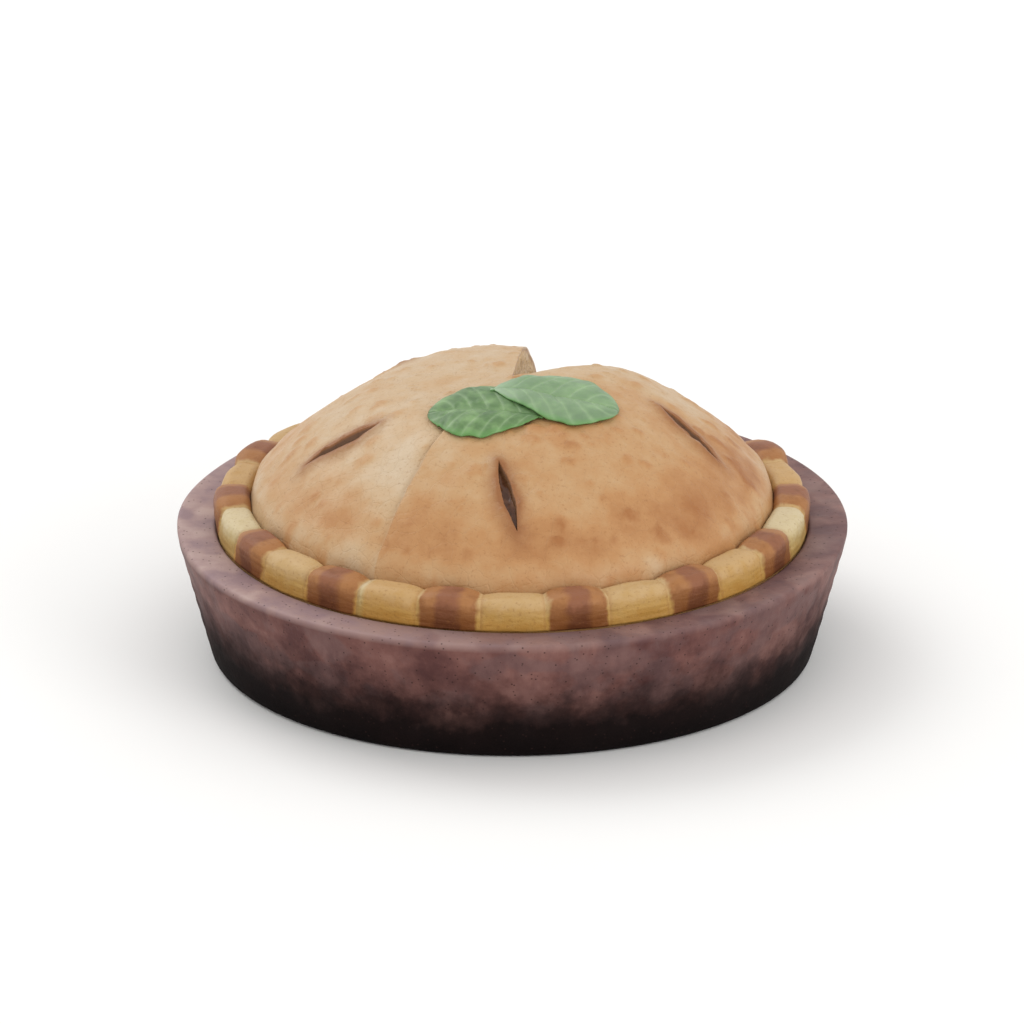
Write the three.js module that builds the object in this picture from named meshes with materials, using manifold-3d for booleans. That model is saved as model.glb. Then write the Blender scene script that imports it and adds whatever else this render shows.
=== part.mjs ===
// A family-size meat pie in its own thick stoneware dish, with one slice taken out:
// a pastry case, the meat filling, a domed lid with steam slits, a crimped border
// round its edge and two herb leaves on top.
//
// Millimetres, +Z up. The origin is the centre of the dish's underside, and the
// pie's front faces -Y. A bearing is an angle in degrees, seen from above, that
// starts at the front (-Y) and grows towards the right (+X). A section is the
// outline of half a turned piece, as points of radius and height.

import * as THREE from 'three';
import { mergeVertices } from 'three/addons/utils/BufferGeometryUtils.js';
import Module from 'manifold-3d';

const wasm = await Module();
wasm.setup();

// ---------------------------------------------------------------- driving sizes

// The dish: a tapered bowl with a wide flat rim.
const RIM_RADIUS = 125;
const RIM_WIDTH = 15;
const DISH_HEIGHT = 49.6;
const FOOT_RADIUS = 111;
const WELL_RADIUS = 99;
const FLOOR_THICKNESS = 9;
const RIM_ROUNDING = 2.4;
const FOOT_ROUNDING = 3;
const WELL_FILLET = 10;

// The pastry case that lines the dish, pinched wider where the lid joins it.
const CASE_THICKNESS = 5;
const PINCH_DEPTH = 7.6;

// The crimped border: plump pads, toasted and pale in turn, with a pinch between.
const BORDER_OUTER_RADIUS = 109.7;
const BORDER_INNER_RADIUS = 97.3;
const BORDER_TOP = 61.9;
const CRIMP_PITCH = 360 / 14;
const TOASTED_RISE = 1.1;
const PINCH_DROP = 1.3;

// The lid. Its top rises steeply from the border to a broad crown, and its
// underside is nearly flat in the middle, where the pastry is thickest.
const LID_RADIUS = 97;
const LID_EDGE_WIDTH = 5.5;
const LID_TOP = [
  [0, 107.2], [20, 106.7], [39, 104.4], [53, 99.4], [65.7, 91.5],
  [79, 82.2], [90, 72.0], [95.6, 65], [LID_RADIUS, 59.2],
];
const LID_UNDERSIDE = [
  [0, 87.4], [30, 87.2], [52, 84.8], [65.7, 79.6], [79, 70.6], [87.5, 61.5],
];
const LID_SWELL = 0.5;

// The sheet of pastry laps over itself along one line, opposite the missing slice.
const LAP_BEARING = -31.9;
const LAP_HEIGHT = 1.1;
const LAP_FADE = 16;
const LAP_START_RADIUS = 30;

// Steam slits. The skew turns a slit away from the radius that it lies on.
const SLIT_LENGTH = 27;
const SLIT_WIDTH = 5.5;
const SLITS = [
  { bearing: -1.2, radius: 70.5, skew: 16 },
  { bearing: -69.4, radius: 67.3, skew: -22 },
  { bearing: 79.1, radius: 66.9, skew: -25 },
  { bearing: -141, radius: 67.5, skew: -20 },
];

// The missing slice, one seventh of the pie, at the back on the right.
const SLICE_BEARINGS = [122.4, 173.9];
const SLICE_APEX = 0.6;

// Chunks of meat that stand out of the filling where it was cut.
const CHUNK_LENGTH = 14;
const CHUNK_HEIGHT = 10;
const CHUNK_RELIEF = 2.6;
const CHUNK_JOINT = 3.4;

// Leaves. Base and tip are [x, distance in front of the centre], and the right
// leaf's base lies over the left leaf's.
const LEAF_THICKNESS = 1.3;
const LEAF_PUFF = 1.7;
const LEAF_LIFT = 0.6;
const LEAF_OVERLAP_LIFT = 3;
const LEAVES = {
  leaf_left: { base: [10, 33.5], tip: [-31.5, 28], halfWidth: 18.6, bend: -2, over: false },
  leaf_right: { base: [-5, 16], tip: [40, 27], halfWidth: 19.4, bend: 3, over: true },
};

// Clearance between pieces that touch, and faces round each turned piece.
const GAP = 0.3;
const COLUMNS = 70;
const CRIMP_COLUMNS = 10;
const LID_TOP_STEPS = 12;
const LID_UNDERSIDE_STEPS = 6;
const CUT_FACE_STEPS = { along: 16, height: 11 };
const LEAF_STEPS = { along: 14, across: 8 };
const ARC_STEPS = 3;
const MERGE_DISTANCE = 1e-4;

// ---------------------------------------------------------------- making solids

const radians = THREE.MathUtils.degToRad;
const { clamp, smoothstep, lerp } = THREE.MathUtils;
const spot = (radius, height) => new THREE.Vector2(radius, height);
const outward = (bearing) => new THREE.Vector3(Math.sin(radians(bearing)), -Math.cos(radians(bearing)), 0);
const bearingOf = (x, y) => THREE.MathUtils.radToDeg(Math.atan2(x, -y));

// A closed geometry as a manifold solid: shared corners merged, collapsed faces left out.
function solidFrom(geometry) {
  const bare = new THREE.BufferGeometry();
  bare.setAttribute('position', geometry.getAttribute('position'));
  bare.setIndex(geometry.getIndex());
  const merged = mergeVertices(bare, MERGE_DISTANCE);
  const corners = merged.getIndex().array;
  const triangles = [];
  for (let i = 0; i < corners.length; i += 3) {
    const [a, b, c] = corners.slice(i, i + 3);
    if (a !== b && b !== c && c !== a) triangles.push(a, b, c);
  }
  return new wasm.Manifold(new wasm.Mesh({
    numProp: 3,
    vertProperties: new Float32Array(merged.getAttribute('position').array),
    triVerts: new Uint32Array(triangles),
  }));
}

// A named mesh from a solid, with its own matte material.
function meshFrom(name, solid, color, roughness) {
  const { vertProperties, triVerts } = solid.getMesh();
  const geometry = new THREE.BufferGeometry();
  geometry.setAttribute('position', new THREE.BufferAttribute(vertProperties, 3));
  geometry.setIndex(new THREE.BufferAttribute(triVerts, 1));
  geometry.computeVertexNormals();
  const mesh = new THREE.Mesh(geometry, new THREE.MeshStandardMaterial({ color, roughness, metalness: 0 }));
  mesh.name = name;
  return mesh;
}

// Moves every corner of a geometry with a function that changes a Vector3 in place.
function reshape(geometry, move) {
  const positions = geometry.getAttribute('position');
  const corner = new THREE.Vector3();
  for (let i = 0; i < positions.count; i += 1) {
    corner.fromBufferAttribute(positions, i);
    move(corner);
    positions.setXYZ(i, corner.x, corner.y, corner.z);
  }
}

// Turns a section about the Z axis. The section runs anticlockwise, from the
// bottom of the axis outwards and back, and column 0 lies on startBearing.
function turned(section, columns, move = () => {}, startBearing = 0) {
  const geometry = new THREE.LatheGeometry(section, columns, radians(startBearing));
  geometry.rotateX(Math.PI / 2);
  reshape(geometry, move);
  return solidFrom(geometry);
}

// An outline through corners [radius, height, rounding], each rounded by a curve
// that starts and ends at the rounding's distance from the corner.
function roundedSection(corners) {
  const path = new THREE.Path();
  const at = (i) => spot(corners[i][0], corners[i][1]);
  path.moveTo(...at(0).toArray());
  for (let i = 1; i < corners.length - 1; i += 1) {
    const corner = at(i);
    const rounding = corners[i][2] ?? 0;
    const before = at(i - 1).sub(corner).setLength(rounding).add(corner);
    const after = at(i + 1).sub(corner).setLength(rounding).add(corner);
    path.lineTo(before.x, before.y);
    if (rounding > 0) path.quadraticCurveTo(corner.x, corner.y, after.x, after.y);
  }
  path.lineTo(...at(corners.length - 1).toArray());
  return path.getPoints(ARC_STEPS);
}

const curveThrough = (points) => new THREE.SplineCurve(points.map(([r, z]) => spot(r, z)));

// ---------------------------------------------------------------- the dish

// The well's wall leans outwards from the floor to the rim.
const wellRadiusAt = (height) => lerp(
  WELL_RADIUS, RIM_RADIUS - RIM_WIDTH, (height - FLOOR_THICKNESS) / (DISH_HEIGHT - FLOOR_THICKNESS),
);

const dish = turned(roundedSection([
  [0, 0],
  [FOOT_RADIUS, 0, FOOT_ROUNDING],
  [RIM_RADIUS, DISH_HEIGHT, RIM_ROUNDING],
  [RIM_RADIUS - RIM_WIDTH, DISH_HEIGHT, RIM_ROUNDING / 2],
  [WELL_RADIUS, FLOOR_THICKNESS, WELL_FILLET],
  [0, FLOOR_THICKNESS],
]), COLUMNS);

// ---------------------------------------------------------------- cutting the slice

// The wedge that the knife took out, through everything but the dish.
function sliceWedge() {
  const reach = RIM_RADIUS * 1.5;
  const middle = (SLICE_BEARINGS[0] + SLICE_BEARINGS[1]) / 2;
  const apex = outward(middle).multiplyScalar(SLICE_APEX);
  const rays = SLICE_BEARINGS.map((bearing) => outward(bearing).multiplyScalar(reach).add(apex));
  const outline = new THREE.Shape([apex, ...rays].map(({ x, y }) => new THREE.Vector2(x, y)));
  return solidFrom(new THREE.ExtrudeGeometry(outline, { depth: 2 * LID_TOP[0][1], bevelEnabled: false }));
}

const slice = sliceWedge();

// ---------------------------------------------------------------- the pastry case

const caseFloor = FLOOR_THICKNESS + GAP + CASE_THICKNESS;
const caseInnerRadiusAt = (height) => wellRadiusAt(height) - GAP - CASE_THICKNESS;
const pinchHeight = DISH_HEIGHT - PINCH_DEPTH;

const baseCrust = turned(roundedSection([
  [0, FLOOR_THICKNESS + GAP],
  [WELL_RADIUS - GAP, FLOOR_THICKNESS + GAP, WELL_FILLET],
  [RIM_RADIUS - RIM_WIDTH - GAP, DISH_HEIGHT],
  [BORDER_INNER_RADIUS, DISH_HEIGHT],
  [caseInnerRadiusAt(pinchHeight), pinchHeight],
  [caseInnerRadiusAt(caseFloor), caseFloor, CASE_THICKNESS],
  [0, caseFloor],
]), COLUMNS).subtract(slice);

// ---------------------------------------------------------------- the lid

const lidTopCurve = curveThrough(LID_TOP);
const lidTopSamples = lidTopCurve.getPoints(80);

// Height of the lid's smooth top at a distance from the axis.
function lidTopAt(radius) {
  const after = lidTopSamples.findIndex((sample) => sample.x >= radius);
  if (after < 1) return lidTopSamples.at(after).y;
  const [inner, outer] = [lidTopSamples[after - 1], lidTopSamples[after]];
  return lerp(inner.y, outer.y, (radius - inner.x) / (outer.x - inner.x));
}

// How far the baked top departs from the smooth one: broad swells, and the lap,
// which stands up along its line and dies away to the right of it.
function lidReliefAt(x, y) {
  const radius = Math.hypot(x, y);
  const calm = 1 - smoothstep(radius, LID_RADIUS * 0.8, LID_RADIUS);
  const swell = LID_SWELL * (Math.sin(x / 13 + 1.1) * Math.cos(y / 16) + Math.sin((x + y) / 21));
  const fromLap = radius * Math.sin(radians(bearingOf(x, y) - LAP_BEARING));
  const ahead = outward(LAP_BEARING).dot(new THREE.Vector3(x, y, 0)) > 0;
  const onRight = ahead && fromLap > -0.1;
  const lap = onRight ? LAP_HEIGHT * Math.exp(-fromLap / LAP_FADE) : 0;
  const lapGrowth = smoothstep(radius, LAP_START_RADIUS, LAP_START_RADIUS + LAP_FADE);
  return swell * calm + lap * lapGrowth * (0.4 + 0.6 * calm);
}

// A slit is a lens-shaped hole, straight down through the lid.
function slitCutter({ bearing, radius, skew }) {
  const half = SLIT_LENGTH / 2;
  const lens = new THREE.Shape();
  lens.moveTo(0, -half);
  lens.quadraticCurveTo(SLIT_WIDTH, 0, 0, half);
  lens.quadraticCurveTo(-SLIT_WIDTH, 0, 0, -half);
  const geometry = new THREE.ExtrudeGeometry(lens, {
    depth: LID_TOP[0][1], bevelEnabled: false, curveSegments: 5,
  });
  geometry.rotateZ(radians(bearing + skew));
  const centre = outward(bearing).multiplyScalar(radius);
  geometry.translate(centre.x, centre.y, DISH_HEIGHT);
  return solidFrom(geometry);
}

function makeLid() {
  const underside = curveThrough(LID_UNDERSIDE).getSpacedPoints(LID_UNDERSIDE_STEPS);
  const top = lidTopCurve.getSpacedPoints(LID_TOP_STEPS).reverse();
  const edgeBottom = DISH_HEIGHT + GAP;
  const section = [
    ...underside,
    spot(LID_RADIUS - LID_EDGE_WIDTH, edgeBottom),
    spot(LID_RADIUS, edgeBottom),
    ...top,
  ];
  const addRelief = (corner) => {
    const radius = Math.hypot(corner.x, corner.y);
    const isTop = corner.z > lidTopAt(Math.min(radius, LID_RADIUS)) - 1;
    if (isTop) corner.z += lidReliefAt(corner.x, corner.y);
  };
  const whole = turned(section, COLUMNS, addRelief, LAP_BEARING).subtract(slice);
  return SLITS.reduce((solid, slit) => solid.subtract(slitCutter(slit)), whole);
}

// ---------------------------------------------------------------- the crimped border

// Columns crowd towards the pinches, where the pads' shape changes fastest.
const PINCH_CROWDING = 0.105;
const padShare = CRIMP_PITCH / 2;

function makeBorder() {
  const bottom = DISH_HEIGHT + GAP;
  const width = BORDER_OUTER_RADIUS - BORDER_INNER_RADIUS;
  const ridgeRadius = BORDER_INNER_RADIUS + width * 0.46;
  const shoulder = curveThrough([
    [BORDER_OUTER_RADIUS, BORDER_TOP - 4.6],
    [BORDER_OUTER_RADIUS - 1.1, BORDER_TOP - 2],
    [BORDER_OUTER_RADIUS - 3.6, BORDER_TOP - 0.4],
    [ridgeRadius, BORDER_TOP],
    [BORDER_INNER_RADIUS + 2.4, BORDER_TOP - 0.8],
    [BORDER_INNER_RADIUS, LID_TOP.at(-1)[1]],
  ]).getSpacedPoints(7);
  const section = [
    spot(BORDER_INNER_RADIUS, bottom),
    spot(BORDER_OUTER_RADIUS, bottom),
    ...shoulder,
    spot(BORDER_INNER_RADIUS, bottom),
  ];

  const crimp = (corner) => {
    const radius = Math.hypot(corner.x, corner.y);
    const turn = (bearingOf(corner.x, corner.y) - LAP_BEARING + 720) / padShare;
    const pad = Math.floor(turn + 1e-6);
    const along = turn - pad;
    const warped = along - PINCH_CROWDING * Math.sin(2 * Math.PI * along);
    const toasted = pad % 2 === 1;
    const crown = toasted ? TOASTED_RISE : 0;
    const plumpness = 1 - Math.abs(2 * warped - 1) ** 3;
    const unevenness = 0.25 * Math.sin(pad * 2.4);
    const relief = lerp(-PINCH_DROP, crown + unevenness, plumpness);
    const upwards = smoothstep(corner.z, bottom + 2, BORDER_TOP - 3);
    const outwards = clamp((radius - ridgeRadius) / (BORDER_OUTER_RADIUS - ridgeRadius), 0, 1);
    const direction = outward(LAP_BEARING + (pad + warped) * padShare);
    const newRadius = radius + relief * outwards * upwards;
    corner.set(direction.x * newRadius, direction.y * newRadius, corner.z + relief * upwards);
  };
  const columns = Math.round(360 / CRIMP_PITCH) * CRIMP_COLUMNS;
  return turned(section, columns, crimp, LAP_BEARING).subtract(slice);
}

// ---------------------------------------------------------------- the filling

// Repeatable scatter between 0 and 1 for a whole-number cell.
function scatter(i, j, salt) {
  const value = Math.sin(i * 127.1 + j * 311.7 + salt * 74.7) * 43758.5453;
  return value - Math.floor(value);
}

// How deep the cut face is recessed at a spot on it: chunks stand out, each by its
// own amount, and the gravy between them lies lowest.
function recessAt(along, height) {
  const [cellI, cellJ] = [Math.floor(along / CHUNK_LENGTH), Math.floor(height / CHUNK_HEIGHT)];
  const chunks = [];
  for (let i = cellI - 1; i <= cellI + 1; i += 1) {
    for (let j = cellJ - 1; j <= cellJ + 1; j += 1) {
      const away = Math.hypot(
        along - (i + 0.2 + 0.6 * scatter(i, j, 1)) * CHUNK_LENGTH,
        (height - (j + 0.2 + 0.6 * scatter(i, j, 2)) * CHUNK_HEIGHT) * (CHUNK_LENGTH / CHUNK_HEIGHT),
      );
      chunks.push({ away, standing: scatter(i, j, 3) });
    }
  }
  chunks.sort((one, other) => one.away - other.away);
  const joint = 1 - smoothstep(chunks[1].away - chunks[0].away, 0, CHUNK_JOINT);
  return CHUNK_RELIEF * (0.12 + 0.45 * (1 - chunks[0].standing) * (1 - joint) + 0.88 * joint);
}

// A slab in the gap whose one face bites into the filling by the recess.
function roughCutter(bearing, side) {
  const slab = new THREE.BoxGeometry(1, 1, 1, CUT_FACE_STEPS.along, CUT_FACE_STEPS.height, 1);
  const radial = outward(bearing);
  const inwards = new THREE.Vector3(radial.y, -radial.x, 0).multiplyScalar(side);
  const apex = outward((SLICE_BEARINGS[0] + SLICE_BEARINGS[1]) / 2).multiplyScalar(SLICE_APEX);
  const [nearEnd, farEnd] = [CHUNK_RELIEF, WELL_RADIUS + RIM_WIDTH];
  const [low, high] = [FLOOR_THICKNESS, LID_TOP[0][1]];
  reshape(slab, (corner) => {
    const along = lerp(nearEnd, farEnd, 0.5 + side * corner.x);
    const height = lerp(low, high, 0.5 + corner.y);
    const depth = corner.z > 0 ? recessAt(along + side * CHUNK_LENGTH * 40, height) : -CHUNK_RELIEF * 2;
    corner.copy(apex).addScaledVector(radial, along).addScaledVector(inwards, depth);
    corner.z = height;
  });
  return solidFrom(slab);
}

function makeFilling() {
  const walls = roundedSection([
    [0, caseFloor + GAP],
    [caseInnerRadiusAt(caseFloor) - GAP, caseFloor + GAP, CASE_THICKNESS],
    [caseInnerRadiusAt(pinchHeight) - GAP, pinchHeight],
    [BORDER_INNER_RADIUS - 1.5 * GAP, DISH_HEIGHT],
    [LID_RADIUS - LID_EDGE_WIDTH - GAP, DISH_HEIGHT],
  ]);
  const underLid = curveThrough(LID_UNDERSIDE).getSpacedPoints(LID_UNDERSIDE_STEPS).reverse();
  underLid.forEach((sample) => sample.set(Math.max(sample.x - GAP, 0), sample.y - GAP));
  return turned([...walls, ...underLid], COLUMNS, undefined, LAP_BEARING)
    .subtract(slice)
    .subtract(roughCutter(SLICE_BEARINGS[0], 1))
    .subtract(roughCutter(SLICE_BEARINGS[1], -1));
}

// ---------------------------------------------------------------- the leaves

// A closed sheet: a grid of columns by rows whose two faces have the same diagonals.
// place(u, v, face) gives the corner at u and v from 0 to 1, on face 0 (under) or 1.
function sheet(columns, rows, place) {
  const positions = [];
  const index = [];
  const perFace = (columns + 1) * (rows + 1);
  const at = (i, j, face) => face * perFace + i * (rows + 1) + j;
  for (const face of [0, 1]) {
    for (let i = 0; i <= columns; i += 1) {
      for (let j = 0; j <= rows; j += 1) positions.push(...place(i / columns, j / rows, face).toArray());
    }
  }
  const quad = (a, b, c, d) => index.push(a, b, c, a, c, d);
  for (let i = 0; i < columns; i += 1) {
    for (let j = 0; j < rows; j += 1) {
      const under = [at(i, j, 0), at(i, j + 1, 0), at(i + 1, j + 1, 0), at(i + 1, j, 0)];
      const [a, b, c, d] = under.map((corner) => corner + perFace);
      quad(...under);
      index.push(a, c, b, a, d, c);
    }
  }
  for (let i = 0; i < columns; i += 1) {
    quad(at(i, 0, 0), at(i + 1, 0, 0), at(i + 1, 0, 1), at(i, 0, 1));
    quad(at(i + 1, rows, 0), at(i, rows, 0), at(i, rows, 1), at(i + 1, rows, 1));
  }
  for (let j = 0; j < rows; j += 1) {
    quad(at(0, j + 1, 0), at(0, j, 0), at(0, j, 1), at(0, j + 1, 1));
    quad(at(columns, j, 0), at(columns, j + 1, 0), at(columns, j + 1, 1), at(columns, j, 1));
  }
  const geometry = new THREE.BufferGeometry();
  geometry.setAttribute('position', new THREE.Float32BufferAttribute(positions, 3));
  geometry.setIndex(index);
  return geometry;
}

// A broad leaf that lies along the lid's crown: its rim rests close to the pastry,
// its two halves puff up on either side of the midrib, and its edge is a little wavy.
function makeLeaf({ base, tip, halfWidth, bend, over }) {
  const from = new THREE.Vector3(base[0], -base[1], 0);
  const axis = new THREE.Vector3(tip[0], -tip[1], 0).sub(from);
  const across = new THREE.Vector3(-axis.y, axis.x, 0).normalize();
  const stalkShare = 0.1;
  const place = (u, v, face) => {
    const side = 2 * v - 1;
    const blade = clamp((u - stalkShare) / (1 - stalkShare), 0, 1);
    const width = 0.7 + halfWidth * (1 - Math.abs(2 * blade - 1) ** 2.3) ** 0.6;
    const waver = 1 + 0.03 * Math.sin(u * 24 + side * 3);
    const corner = from.clone().addScaledVector(axis, u);
    corner.addScaledVector(across, side * width * waver + bend * Math.sin(Math.PI * u));
    const puff = Math.abs(Math.sin(Math.PI * side)) ** 0.8 * Math.sin(Math.PI * blade) ** 0.5;
    const ripple = 0.35 * Math.sin(u * 19) * side ** 2;
    const raised = over ? LEAF_OVERLAP_LIFT * (1 - smoothstep(corner.x, 4, 17)) : 0;
    const pastry = lidTopAt(corner.length()) + lidReliefAt(corner.x, corner.y);
    corner.z = pastry + LEAF_LIFT + LEAF_PUFF * puff + Math.abs(ripple) + raised + face * LEAF_THICKNESS;
    return corner;
  };
  return solidFrom(sheet(LEAF_STEPS.along, LEAF_STEPS.across, place));
}

// ---------------------------------------------------------------- the whole pie

const pie = new THREE.Group();
pie.add(meshFrom('dish', dish, 0x6e4f4b, 0.6));
pie.add(meshFrom('base_crust', baseCrust, 0xc9a468, 0.7));
pie.add(meshFrom('filling', makeFilling(), 0x8a5a3c, 0.5));
pie.add(meshFrom('lid', makeLid(), 0xc6935c, 0.55));
pie.add(meshFrom('rim_rope', makeBorder(), 0xcfb279, 0.55));
for (const [name, leaf] of Object.entries(LEAVES)) pie.add(meshFrom(name, makeLeaf(leaf), 0x5f9a52, 0.5));

export default pie;
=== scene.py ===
import math
import random

import bpy
from mathutils import Matrix, Vector, noise


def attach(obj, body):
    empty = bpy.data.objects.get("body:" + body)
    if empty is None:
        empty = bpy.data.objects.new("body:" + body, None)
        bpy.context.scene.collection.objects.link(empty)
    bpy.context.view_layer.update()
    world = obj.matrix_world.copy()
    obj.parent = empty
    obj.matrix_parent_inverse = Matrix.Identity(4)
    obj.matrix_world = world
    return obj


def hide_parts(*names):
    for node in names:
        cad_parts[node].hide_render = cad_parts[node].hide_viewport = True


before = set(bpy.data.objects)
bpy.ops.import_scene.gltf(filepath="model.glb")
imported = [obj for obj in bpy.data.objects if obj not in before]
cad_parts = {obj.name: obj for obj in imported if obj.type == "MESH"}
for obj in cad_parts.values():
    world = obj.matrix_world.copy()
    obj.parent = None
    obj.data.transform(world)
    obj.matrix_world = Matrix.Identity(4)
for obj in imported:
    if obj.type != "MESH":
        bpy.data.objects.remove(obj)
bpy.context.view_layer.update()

# ------------------------------------------------------------------ studio
# A pale table, a white room and two soft lights: a window behind that puts a haze on
# what faces up, and a second one on the right in front. The camera looks down at 21.5
# degrees in parallel projection, from straight in front.
MM = 0.001
CAMERA_ELEVATION = math.radians(21.5)
CAMERA_WIDTH = 379.9 * MM
CAMERA_AIM = Vector((0, 0, 54.3 * MM))
CAMERA_DISTANCE = 2.0
CAMERA_REACH = 20
ROOM_STRENGTH = 0.9
WINDOW_SIZE = 1.2
TABLE_SIZE = 12


def linear(code):
    """An sRGB hex colour as linear RGBA."""
    parts = [int(code[i:i + 2], 16) / 255 for i in (1, 3, 5)]
    return [c / 12.92 if c <= 0.04045 else ((c + 0.055) / 1.055) ** 2.4 for c in parts] + [1.0]


def feed(node, inputs):
    """Sets a node's inputs, each to a value, another node's socket, or another node,
    which stands for the first output that it has in use."""
    for key, value in inputs.items():
        if isinstance(value, bpy.types.Node):
            value = next(socket for socket in value.outputs if socket.enabled)
        if isinstance(value, bpy.types.NodeSocket):
            node.id_data.links.new(value, node.inputs[key])
        else:
            node.inputs[key].default_value = value


def new_material(name):
    """A material, what adds nodes to it, and its shader, which is joined to the output."""
    material = bpy.data.materials.new(name)
    material.use_nodes = True
    nodes = material.node_tree.nodes

    def add(kind, inputs=None, stops=(), **settings):
        """A node with its settings and inputs. Stops are a ramp's places and colours."""
        made = nodes.new("ShaderNode" + kind)
        for setting, value in settings.items():
            setattr(made, setting, value)
        feed(made, inputs or {})
        for i, (place, code) in enumerate(stops):
            ramp = made.color_ramp.elements
            element = ramp[i] if i < len(ramp) else ramp.new(1.0)
            element.position = place
            element.color = linear(code)
        return made

    return material, add, nodes["Principled BSDF"]


camera = bpy.data.objects.new("camera", bpy.data.cameras.new("camera"))
bpy.context.scene.collection.objects.link(camera)
camera.data.type = "ORTHO"
camera.data.ortho_scale = CAMERA_WIDTH
towards_camera = Vector((0, -math.cos(CAMERA_ELEVATION), math.sin(CAMERA_ELEVATION)))
camera.location = CAMERA_AIM + CAMERA_DISTANCE * towards_camera
camera.rotation_euler = (math.pi / 2 - CAMERA_ELEVATION, 0, 0)
camera.data.clip_end = CAMERA_REACH
bpy.context.scene.camera = camera

for name, place, power in (
    ("window behind", (-0.9, 0.9, 1.35), 9),
    ("window front right", (1.5, -1.4, 0.8), 12),
):
    light = bpy.data.objects.new(name, bpy.data.lights.new(name, "AREA"))
    bpy.context.scene.collection.objects.link(light)
    light.data.size = WINDOW_SIZE
    light.data.energy = power
    light.location = place
    light.rotation_euler = (CAMERA_AIM - Vector(place)).to_track_quat("-Z", "Y").to_euler()

room = bpy.data.worlds.new("white room")
room.use_nodes = True
feed(room.node_tree.nodes["Background"], {"Color": linear("#ffffff"), "Strength": ROOM_STRENGTH})
bpy.context.scene.world = room
bpy.context.scene.view_settings.view_transform = "Standard"

bpy.ops.object.select_all(action="DESELECT")
bpy.ops.mesh.primitive_plane_add(size=TABLE_SIZE)
table = bpy.context.object
table.name = "table"
painted, add, shader = new_material("white painted table")
feed(shader, {"Base Color": linear("#f7f6f4"), "Roughness": 0.8})
table.data.materials.append(painted)

# ------------------------------------------------------------------ dish
# A heavy stoneware pie dish with a tapered wall and a wide flat rim, thrown on a
# wheel and fired with a matte mauve-brown glaze. The glaze is mottled, thin and
# pale on the rim, under a painted sheen that is strongest on the left, and nearly
# black towards the foot: partly smoked glaze, partly painted shade.
RIM_RADIUS = 125
RIM_WIDTH = 15
DISH_HEIGHT = 49.6
FOOT_RADIUS = 111
WELL_RADIUS = 99
FLOOR_THICKNESS = 9
RIM_ROUNDING = 2.6
FOOT_ROUNDING = 3
WELL_FILLET = 10
DISH_SIDES = 360
DISH_CUTS = 5
PROFILE_STEP = 2.4
THROWING_RING = 7.0
RING_DEPTH = 0.12
WOBBLE = 0.35
RIM_SWAY = 0.25
SAME_PLACE = 1e-6


def outward(bearing):
    """The way a bearing points: 0 is the front and 90 the right, seen from above."""
    return Vector((math.sin(math.radians(bearing)), -math.cos(math.radians(bearing)), 0))


def bearing_of(place):
    """A place's bearing, from -180 to 180."""
    return math.degrees(math.atan2(place.x, -place.y))


def smooth(value, low, high):
    """0 below low, 1 above high, and an S-curve between."""
    share = min(max((value - low) / (high - low), 0), 1)
    return share * share * (3 - 2 * share)


def mix(a, b, share):
    return a + (b - a) * share


def rounded(corners, arc_steps=6):
    """An outline through corners (radius, height, rounding), each rounded by a curve
    that starts and ends at the rounding's distance from it."""
    outline = []
    for i, (radius, height, rounding) in enumerate(corners):
        corner = Vector((radius, height))
        if not rounding:
            outline.append(corner)
            continue
        before = corner + (Vector(corners[i - 1][:2]) - corner).normalized() * rounding
        after = corner + (Vector(corners[i + 1][:2]) - corner).normalized() * rounding
        for step in range(arc_steps + 1):
            share = step / arc_steps
            outline.append(mix(mix(before, corner, share), mix(corner, after, share), share))
    return outline


def stepped(outline, spacing):
    """The same outline with more points, no further apart than the spacing."""
    points = [outline[0]]
    for a, b in zip(outline, outline[1:]):
        count = max(math.ceil((b - a).length / spacing), 1)
        points += [mix(a, b, (i + 1) / count) for i in range(count)]
    return points


def close_shape(piece):
    """Merges doubles and turns every face outwards, back in object mode."""
    bpy.ops.object.mode_set(mode="EDIT")
    bpy.ops.mesh.select_all(action="SELECT")
    bpy.ops.mesh.remove_doubles(threshold=0.01 * MM)
    bpy.ops.mesh.normals_make_consistent(inside=False)
    bpy.ops.object.mode_set(mode="OBJECT")
    piece.data.shade_smooth()


def spun_finely(piece, steps, angle, cuts):
    """Spins what is selected in steps, cuts each step up again, and brings every new
    corner out to its true radius, so that long spins stay quick."""
    bpy.ops.object.mode_set(mode="EDIT")
    bpy.ops.mesh.select_all(action="SELECT")
    bpy.ops.mesh.spin(steps=steps, angle=angle, center=(0, 0, 0), axis=(0, 0, 1))
    bpy.ops.object.mode_set(mode="OBJECT")
    close_shape(piece)
    bpy.ops.object.mode_set(mode="EDIT")
    bpy.ops.mesh.select_mode(type="EDGE")
    bpy.ops.mesh.select_all(action="DESELECT")
    bpy.ops.object.mode_set(mode="OBJECT")
    corners = [vertex.co.copy() for vertex in piece.data.vertices]
    reach = [item.value for item in piece.data.attributes["reach"].data]
    for edge in piece.data.edges:
        a, b = edge.vertices
        level = abs(corners[a].z - corners[b].z) < SAME_PLACE and abs(reach[a] - reach[b]) < SAME_PLACE
        edge.select = level and (corners[a] - corners[b]).length > SAME_PLACE
    bpy.ops.object.mode_set(mode="EDIT")
    bpy.ops.mesh.subdivide(number_cuts=cuts)
    bpy.ops.mesh.select_mode(type="VERT")
    bpy.ops.object.mode_set(mode="OBJECT")
    reach = piece.data.attributes["reach"].data
    for vertex in piece.data.vertices:
        radius = math.hypot(vertex.co.x, vertex.co.y)
        if radius > SAME_PLACE:
            vertex.co.x *= reach[vertex.index].value / radius
            vertex.co.y *= reach[vertex.index].value / radius


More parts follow.
